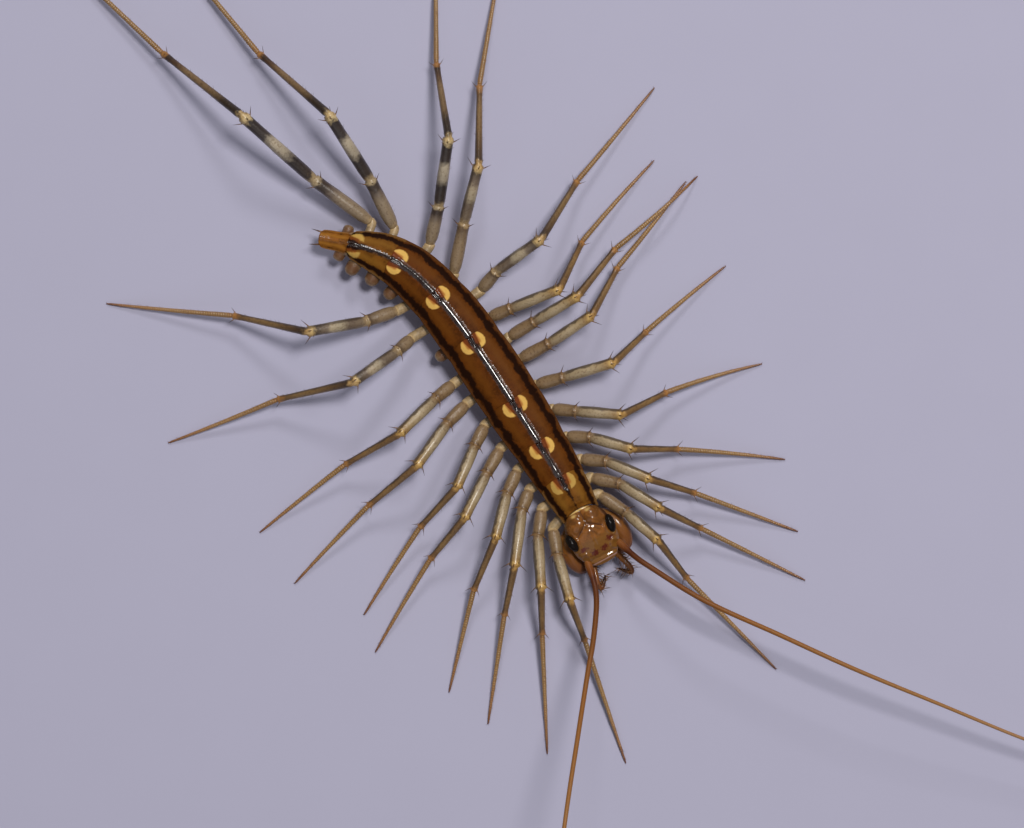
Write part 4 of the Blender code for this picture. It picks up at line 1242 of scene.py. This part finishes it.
def head_mesh():
    """The head's skin, from the sections of its frame and the relief over them."""
    sections = smooth_route(HEAD_SECTIONS, FINE_SPACING)
    outline = closed_curve(full_outline(HEAD_OUTLINE), HEAD_COLUMNS)
    builder = bmesh.new()
    names = ("dark", "blotch", "gold", "lip", "front")
    dark, blotch, gold, lip, front = add_layers(builder, names)
    for vertex, column, row in grid_points(builder, HEAD_COLUMNS, len(sections) - 1):
        forward, half_width, top, bottom = sections[row]
        across, up = outline[column % HEAD_COLUMNS]
        lean = HEAD_LEAN * max(0.0, 1.0 - forward / HEAD_LEAN_ENDS)
        out = across * half_width
        fore = forward + lean * (1 - up)
        height = bottom + up * (top - bottom)
        upper = step(0.45, 0.75, up)
        height += head_relief(out, fore) * upper
        mouth = 0.16 * hump(height - 2.06, 0.06) * step(3.55, 4.0, fore)
        shrink = 1.0 - mouth / max(0.5, half_width)
        vertex.co = head_point(out * shrink, fore - mouth * 0.6, height)
        margin = step(0.8, 0.93, abs(across)) * step(1.9, 1.3, fore)
        sulcus = min(line_distance(out, fore, *line) for line in SULCUS_LINES)
        vertex[dark] = max(0.85 * margin, 0.62 * step(0.12, 0.02, sulcus) * upper)
        band = spot(abs(out) - 0.42, fore - 3.36, 0.42, 0.26)
        corner = spot(abs(out) - 1.0, fore - 2.85, 0.36, 0.24)
        vertex[blotch] = 0.8 * max(band, corner) * upper
        vertex[front] = 0.9 * step(2.0, 2.8, fore)
        collar = step(0.34, 0.16, fore) * upper
        vertex[gold] = max(collar, 0.65 * spot(abs(out) - 0.55, fore - 0.42, 0.3, 0.16))
        vertex[lip] = 0.9 * hump(fore - 4.08, 0.05) * step(2.1, 2.2, height)
    return closed_mesh(builder, "head_skin")


# Markings of the head: layer, colour, softness, raggedness and its size
HEAD_MARKS = (
    ("gold", (0.72, 0.48, 0.16), 0.3, 0.3, 0.2), ("front", (0.2, 0.082, 0.014), 0.4, 0.6, 0.25),
    ("blotch", (0.1, 0.014, 0.005), 0.25, 1.5, 0.16), ("dark", (0.06, 0.018, 0.006), 0.3, 0.2, 0.1),
    ("lip", (0.45, 0.25, 0.19), 0.3, 0.2, 0.1),
)


def head_material(base):
    """Glossy orange-brown shell with dark grooves, red blotches and a gold collar."""
    paint = Painter("head_shell", 0.4, coat=0.85, specular=0.1)
    paint.fill(paint.shader, Coat_Roughness=0.08)
    broad = paint.patches(0.7, 0.35, 0.68, 4.0, 0.8)
    colour = paint.mix(broad, scaled(base, 0.55), scaled(base, 1.15))
    colour = paint.weighted(paint.patches(0.13, 0.52, 0.7), 0.4, colour, scaled(base, 0.45))
    for name, tint, edge, ragged, size in HEAD_MARKS:
        colour = paint.mark(colour, name, tint, edge, ragged, size)
    fine = paint.bump(paint.noise(0.07, 2.0), 0.008)
    return paint.finish(colour, paint.bump(paint.noise(0.3, 2.0), 0.042, fine))


class CENTIPEDE_OT_head(bpy.types.Operator):
    """Build the head's shell"""

    bl_idname = "centipede.head"
    bl_label = "Head"

    def execute(self, context):
        base = tuple(context.scene.centipede_body.head_colour)
        add_piece(head_mesh(), head_material(base), "head", ["head"])
        return {"FINISHED"}


def eye_mesh(side):
    """A compound eye: many small domes set over an egg-shaped ball."""
    coarse = bmesh.new()
    bmesh.ops.create_icosphere(coarse, subdivisions=FACET_FINENESS, radius=1.0)
    tree = finder([vertex.co for vertex in coarse.verts])
    coarse.free()
    builder = bmesh.new()
    bmesh.ops.create_icosphere(builder, subdivisions=EYE_FINENESS, radius=1.0)
    for vertex in builder.verts:
        distance = tree.find(vertex.co)[2]
        vertex.co *= 1.0 + FACET_BULGE * (1.0 - (distance / FACET_SIZE) ** 2)
    turn = math.radians(HEAD_TURN - side_sign(side) * EYE_TOE_IN)
    place = Matrix.Translation(eye_place(side)) @ Matrix.Rotation(turn, 4, "Z")
    radii = [radius * share for radius, share in zip(EYE_RADII, EYE_SHARES)]
    bmesh.ops.transform(builder, matrix=place @ Matrix.Diagonal((*radii, 1.0)), verts=builder.verts)
    return mesh_of(builder, f"compound_eye_{side}")


def eye_material():
    """Glossy black with a faint brown tint between the facets."""
    paint = Painter("eye_black", 0.2, specular=0.14)
    colour = paint.mix(paint.noise(0.12, 2.0), (0.004, 0.0035, 0.004), (0.012, 0.008, 0.006))
    return paint.finish(colour, paint.bump(paint.noise(0.05), 0.002))


class CENTIPEDE_OT_eyes(bpy.types.Operator):
    """Build the two compound eyes"""

    bl_idname = "centipede.eyes"
    bl_label = "Eyes"

    def execute(self, context):
        material = eye_material()
        for side in SIDES:
            add_piece(eye_mesh(side), material, "eye", [f"eye_{side}"])
        return {"FINISHED"}


def mouthpart_mesh(name, route, side, flat):
    """A mouthpart along its route in the head's frame."""
    sign = side_sign(side)
    rows = smooth_route(route, FINE_SPACING)
    stations = []
    for index, (out, forward, height, radius) in enumerate(rows):
        place = head_point(sign * out, forward, height)
        stations.append((place, radius, radius * flat, index / (len(rows) - 1), 0.0))
    return tube(name, stations, MOUTHPART_SIDES)


def mouthpart_material():
    """Glossy amber shell that darkens towards the tip."""
    paint = Painter("mouthpart_shell", 0.36, coat=0.45, specular=0.15)
    cloud = paint.maths("MULTIPLY", paint.noise(0.3), 0.16)
    along = paint.maths("ADD", paint.attribute("along"), cloud)
    colour = paint.ramp(along, [
        (0.0, (0.22, 0.09, 0.024)), (0.25, (0.27, 0.115, 0.028)), (0.5, (0.25, 0.09, 0.018)),
        (0.72, (0.19, 0.066, 0.02)), (0.9, (0.1, 0.032, 0.012)), (1.0, (0.03, 0.01, 0.006)),
    ])
    colour = paint.weighted(paint.patches(0.12, 0.52, 0.72), 0.4, colour, (0.14, 0.045, 0.012))
    return paint.finish(colour, paint.bump(paint.noise(0.25, 2.0), 0.025))


class CENTIPEDE_OT_mouthparts(bpy.types.Operator):
    """Build the poison claws and the palps"""

    bl_idname = "centipede.mouthparts"
    bl_label = "Mouthparts"

    def execute(self, context):
        material = mouthpart_material()
        for side in SIDES:
            for name, route, flat, node in MOUTHPARTS:
                mesh = mouthpart_mesh(f"{name}_{side}", route, side, flat)
                add_piece(mesh, material, "mouthpart", [f"{node}_{side}"])
        return {"FINISHED"}


def antenna_points(side):
    """Places along the whole feeler, close together."""
    sign = side_sign(side)
    x, y, z = ANTENNA_STARTS[side]
    place = Vector((sign * x, y, z))
    points = [tuple(place)]
    for length, heading, rise in ANTENNA_ROUTES[side]:
        level = length * math.cos(math.radians(rise))
        place = place + heading_step(sign, level, heading)
        place.z += length * math.sin(math.radians(rise))
        points.append(tuple(place))
    start, second = Vector(points[0]), Vector(points[1])
    sunk = start - (second - start).normalized() * ANTENNA_SUNK
    return [Vector(point) for point in smooth_route([tuple(sunk)] + points, ANTENNA_SPACING)]


def antenna_line(side, ring_length):
    """Stations of a feeler, with the swelling of each of its rings."""
    points = antenna_points(side)
    walked = [0.0]
    for a, b in zip(points, points[1:]):
        walked.append(walked[-1] + (b - a).length)
    whole = walked[-1]
    stations = []
    index = 0
    for share, swell, groove in ringed(round(whole / ring_length), FEELER_RING):
        while index < len(points) - 2 and walked[index + 1] < share * whole:
            index += 1
        span = walked[index + 1] - walked[index]
        place = points[index].lerp(points[index + 1], (share * whole - walked[index]) / span)
        radius = eased(ANTENNA_SHAPE, share) * swell
        stations.append((place, radius, radius, share, groove))
    stations.append((points[-1], FEELER_END, FEELER_END, 1.0, 0.0))
    return stations


def antenna_material():
    """Reddish brown feeler that pales to pink at its tip."""
    paint = Painter("feeler", 0.42, specular=0.3)
    along = paint.maths("ADD", paint.attribute("along"), paint.wobble(0.02, 0.5))
    colour = paint.ramp(along, [
        (0.0, (0.28, 0.1, 0.022)), (0.02, (0.19, 0.055, 0.009)), (0.032, (0.08, 0.017, 0.003)),
        (0.08, (0.15, 0.045, 0.006)), (0.25, (0.27, 0.1, 0.015)), (0.6, (0.34, 0.16, 0.045)),
        (1.0, (0.45, 0.28, 0.18)),
    ])
    colour = paint.weighted(paint.patches(0.1, 0.5, 0.7, 2.0), 0.3, colour, (0.16, 0.04, 0.012))
    return paint.finish(colour, paint.bump(paint.noise(0.05), 0.008))


class CENTIPEDE_OT_feelers(bpy.types.Operator):
    """Build the two long ringed feelers"""

    bl_idname = "centipede.feelers"
    bl_label = "Feelers"

    def execute(self, context):
        ring_length = context.scene.centipede_legs.feeler_ring / MM
        material = antenna_material()
        for side in SIDES:
            mesh = tube(f"feeler_{side}", antenna_line(side, ring_length), ANTENNA_SIDES)
            nodes = [f"antenna_{side}_{part}" for part in ANTENNA_PARTS]
            add_piece(mesh, material, "antenna", nodes)
        return {"FINISHED"}


class CENTIPEDE_OT_legs(bpy.types.Operator):
    """Build the legs, each with its joints and the rings of its tarsus"""

    bl_idname = "centipede.legs"
    bl_label = "Legs"

    def execute(self, context):
        settings = context.scene.centipede_legs
        plain = leg_material("leg_plain", PLAIN_LEG, 0.75)
        faint = leg_material("leg_faint", FAINT_LEG, 0.6)
        banded = leg_material("leg_banded", BANDED_LEG, 0.25)
        for row in LEGS:
            side, pair = row[:2]
            stations = leg_line(row, settings.ring_length / MM)
            rear = -1.0 if side == "left" else 1.0
            mesh = tube(f"leg_skin_{side}_{pair}", stations, settings.leg_sides, rear)
            slot, material = "leg", plain
            if pair >= BANDED_FROM:
                slot = "rear_leg"
                material = banded if pair >= STRONG_BANDS_FROM else faint
            add_piece(mesh, material, slot, [f"leg_{side}_{pair}"])
        return {"FINISHED"}


# Spurs round a leg: place along it, turn round it, lean, length and radius
LEG_SPURS = (
    (0.93, 62, 48, 0.62, 0.045), (0.93, -66, 48, 0.66, 0.045), (0.9, 8, 52, 0.4, 0.04),
    (0.95, 150, 50, 0.55, 0.045), (1.93, 4, 46, 0.6, 0.05), (1.93, 98, 50, 0.66, 0.05),
    (1.93, -98, 50, 0.66, 0.05), (1.95, 160, 48, 0.6, 0.05), (1.9, -40, 55, 0.4, 0.04),
    (2.95, 82, 42, 0.5, 0.04), (2.95, -80, 42, 0.5, 0.04), (2.94, 175, 44, 0.45, 0.04),
)
# Bristles of a leg: lengths on the tarsus and above it, lean and radius
TARSUS_BRISTLE_LENGTHS = (0.1, 0.17)
BRISTLE_LENGTHS = (0.13, 0.26)
BRISTLE_LEANS = (30, 55)
BRISTLE_RADIUS = 0.012
# Least height of a leg bristle's tip over the floor
BRISTLE_CLEARANCE = 0.03
# Bristles of a palp: where they begin, spacing, number at a place, size and leans
PALP_BARE_STATIONS = 12
PALP_BRISTLE_SPACING = 0.12
PALP_BRISTLES = 3
PALP_BRISTLE_RADIUS = 0.028
PALP_BRISTLE_LEANS = (45, 80)
PALP_BRISTLE_LENGTHS = (0.3, 0.8)
# Root and end of a tail point by its distances back, out and up, and its size
TAIL_POINT_ROOT = (26.85, 0.42, 1.95)
TAIL_POINT_END = (27.9, 0.58, 1.85)
TAIL_POINT_LENGTH = 0.85
TAIL_POINT_RADIUS = 0.085


def point_on(stations, frames, along):
    """The station nearest to a place along a line, and its frame."""
    index = min(range(len(stations)), key=lambda i: abs(stations[i][3] - along))
    return stations[index], frames[index]


def leg_spines(row, ring_length, spacing):
    """Spurs at the joints of a leg and the fine bristles along it."""
    side, pair = row[:2]
    draw = random.Random(100 * pair + (1 if side == "left" else 2))
    stations = leg_line(row, ring_length)
    frames = ring_frames([station[0] for station in stations])
    spurs = []
    for along, turn, lean, length, radius in LEG_SPURS:
        station, axes = point_on(stations, frames, along)
        turned = turn + draw.uniform(-9, 9)
        leaning = lean + draw.uniform(-5, 5)
        reach = length * draw.uniform(0.85, 1.1)
        spurs.append(spine_on(station, axes, turned, leaning, reach, radius))
    bristles = []
    walked = 0.0
    for (near, *_), station, axes in zip(stations, stations[1:], frames[1:]):
        walked += (station[0] - near).length
        if station[3] < 0.15 or walked < spacing:
            continue
        walked = 0.0
        lengths = TARSUS_BRISTLE_LENGTHS if station[3] > 3.0 else BRISTLE_LENGTHS
        length = draw.uniform(*lengths)
        turn, lean = draw.uniform(0, 360), draw.uniform(*BRISTLE_LEANS)
        bristle = spine_on(station, axes, turn, lean, length, BRISTLE_RADIUS)
        if (bristle[0] + bristle[1] * bristle[2] * 1.2).z > BRISTLE_CLEARANCE:
            bristles.append(bristle)
    return spurs, bristles


def spine_on(station, axes, turn, lean, length, radius):
    """Place of a spine on a tube, leaning out from it towards its far end."""
    place, wide, high = station[:3]
    along, side, up = axes
    angle = math.radians(turn)
    outward = up * math.cos(angle) + side * math.sin(angle)
    root = place + outward * (min(wide, high) * 0.82)
    direction = along * math.cos(math.radians(lean)) + outward * math.sin(math.radians(lean))
    return root, direction, length + min(wide, high) * 0.2, radius


def tail_points():
    """The two dark points at the end of the tail."""
    found = []
    for side in SIDES:
        root, end = [
            trunk_point(back, side_sign(side) * out, height)
            for back, out, height in (TAIL_POINT_ROOT, TAIL_POINT_END)
        ]
        found.append((root, (end - root).normalized(), TAIL_POINT_LENGTH, TAIL_POINT_RADIUS))
    return found


def palp_bristles():
    """Bristles of the palps: root, direction, length and radius of each."""
    draw = random.Random(7)
    found = []
    for side in SIDES:
        sign = side_sign(side)
        stations = [
            (head_point(sign * out, forward, height), radius, radius)
            for out, forward, height, radius in smooth_route(PALP_ROUTE, PALP_BRISTLE_SPACING)
        ]
        frames = ring_frames([station[0] for station in stations])
        for station, axes in list(zip(stations, frames))[PALP_BARE_STATIONS:]:
            for _ in range(PALP_BRISTLES):
                turn, lean = draw.uniform(0, 360), draw.uniform(*PALP_BRISTLE_LEANS)
                length = draw.uniform(*PALP_BRISTLE_LENGTHS)
                found.append(spine_on(station, axes, turn, lean, length, PALP_BRISTLE_RADIUS))
    return found


class CENTIPEDE_OT_spines(bpy.types.Operator):
    """Build the spurs and bristles of the legs, the palps' bristles and the tail's points"""

    bl_idname = "centipede.spines"
    bl_label = "Spurs and bristles"

    def execute(self, context):
        settings = context.scene.centipede_legs
        material = spine_material()
        ring_length, spacing = settings.ring_length / MM, settings.bristle_spacing / MM
        for side in SIDES:
            found = [leg_spines(row, ring_length, spacing) for row in LEGS if row[0] == side]
            spurs = [spur for leg_spurs, _ in found for spur in leg_spurs]
            bristles = [bristle for _, leg_bristles in found for bristle in leg_bristles]
            add_piece(spines(f"leg_spurs_{side}", spurs, sides=7, bend=1.5), material, "leg")
            add_piece(spines(f"leg_bristles_{side}", bristles, sides=4, bend=2.5), material, "leg")
        fringe = spines("mouth_bristles", palp_bristles(), sides=5, bend=2.0)
        add_piece(fringe, material, "mouthpart")
        add_piece(spines("tail_points", tail_points(), sides=9, bend=0.6), material, "tail")
        return {"FINISHED"}


def floor_mesh(size):
    """A flat square, a hair under the feet."""
    builder = bmesh.new()
    squares = FLOOR_SQUARES
    bmesh.ops.create_grid(builder, x_segments=squares, y_segments=squares, size=size / 2)
    bmesh.ops.translate(builder, vec=(0.0, 0.0, -FLOOR_DROP), verts=builder.verts)
    return bare_mesh(builder, "floor")


def area_light(name, place, size, power, colour):
    """A soft square light aimed at the animal."""
    data = bpy.data.lights.new(name, "AREA")
    data.size = size
    data.energy = power
    data.color = colour
    light = new_object(name, data)
    light.location = place
    light.rotation_euler = (-Vector(place)).to_track_quat("-Z", "Y").to_euler()


def plan_of_pixel(pixel):
    """A photo pixel on the floor, as a place in the frame in millimetres."""
    heading = math.radians(BODY_HEADING)
    ahead = Vector((math.cos(heading), math.sin(heading)))
    left = Vector((ahead.y, -ahead.x))
    offset = Vector(pixel) - Vector(COLLAR_PIXEL)
    plan = Vector((offset.dot(left), -offset.dot(ahead), 0.0)) * PIXEL
    return plan + Vector((SHIFT.x, SHIFT.y, 0.0))


class CENTIPEDE_OT_stage(bpy.types.Operator):
    """Set the floor, the lights and the camera"""

    bl_idname = "centipede.stage"
    bl_label = "Stage"

    def execute(self, context):
        settings = context.scene.centipede_stage
        paint = Painter("floor_finish", 0.75, specular=0.2)
        colour = tuple(settings.floor_colour)
        tint = paint.mix(paint.noise(6.0, 3.0), scaled(colour, 0.985), scaled(colour, 1.015))
        floor = new_object("floor", floor_mesh(settings.floor_size))
        floor.data.materials.append(paint.finish(tint))
        floor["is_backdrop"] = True
        for light in LIGHTS:
            area_light(*light)
        world = bpy.data.worlds.new("studio")
        world.use_nodes = True
        sky = world.node_tree.nodes["Background"].inputs
        sky["Color"].default_value = SKY_COLOUR
        sky["Strength"].default_value = SKY_STRENGTH
        context.scene.world = world
        context.scene.view_settings.view_transform = "Standard"
        data = bpy.data.cameras.new("camera")
        data.sensor_width = SENSOR_WIDTH
        data.lens = settings.camera_height / MM * SENSOR_WIDTH / (PICTURE_WIDTH * PIXEL)
        data.clip_start, data.clip_end = CAMERA_REACH
        camera = new_object("camera", data)
        camera.location = plan_of_pixel(PICTURE_MIDDLE) * MM + UP * settings.camera_height
        camera.rotation_euler = (0.0, 0.0, math.radians(BODY_HEADING - 90.0))
        context.scene.camera = camera
        return {"FINISHED"}


STEPS = (
    CENTIPEDE_OT_stage, CENTIPEDE_OT_body_skin, CENTIPEDE_OT_back_plates, CENTIPEDE_OT_head,
    CENTIPEDE_OT_eyes, CENTIPEDE_OT_mouthparts, CENTIPEDE_OT_feelers, CENTIPEDE_OT_legs,
    CENTIPEDE_OT_spines,
)


class CENTIPEDE_PT_panel(bpy.types.Panel):
    """The pieces of the centipede, with their sizes and colours"""

    bl_label = "House centipede"
    bl_idname = "CENTIPEDE_PT_panel"
    bl_space_type = "VIEW_3D"
    bl_region_type = "UI"
    bl_category = "Centipede"

    def draw(self, context):
        layout = self.layout
        for group, _ in SETTINGS:
            settings = getattr(context.scene, group)
            for name in settings.bl_rna.properties.keys():
                if name not in ("rna_type", "name"):
                    layout.prop(settings, name)
        for operator in STEPS:
            layout.operator(operator.bl_idname)


SETTINGS = (
    ("centipede_body", CentipedeBodySettings),
    ("centipede_legs", CentipedeLegSettings),
    ("centipede_stage", CentipedeStageSettings),
)


def register():
    """Add the settings, the operators and the panel."""
    for name, group in SETTINGS:
        bpy.utils.register_class(group)
        setattr(bpy.types.Scene, name, bpy.props.PointerProperty(type=group))
    for item in (*STEPS, CENTIPEDE_PT_panel):
        bpy.utils.register_class(item)


def unregister():
    """Take them away again."""
    for item in reversed((*STEPS, CENTIPEDE_PT_panel)):
        bpy.utils.unregister_class(item)
    for name, group in reversed(SETTINGS):
        delattr(bpy.types.Scene, name)
        bpy.utils.unregister_class(group)


def write_sizes():
    """Make a table of the frame's box and the finished model's box, which is not kept."""
    boxes = {"cad": FRAME_BOX, "visual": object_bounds()}
    {name: [list(corner) for corner in box] for name, box in boxes.items()}


def main():
    """Build the whole scene."""
    register()
    for operator in STEPS:
        group, name = operator.bl_idname.split(".")
        getattr(getattr(bpy.ops, group), name)()
    write_sizes()


if __name__ == "__main__":
    main()
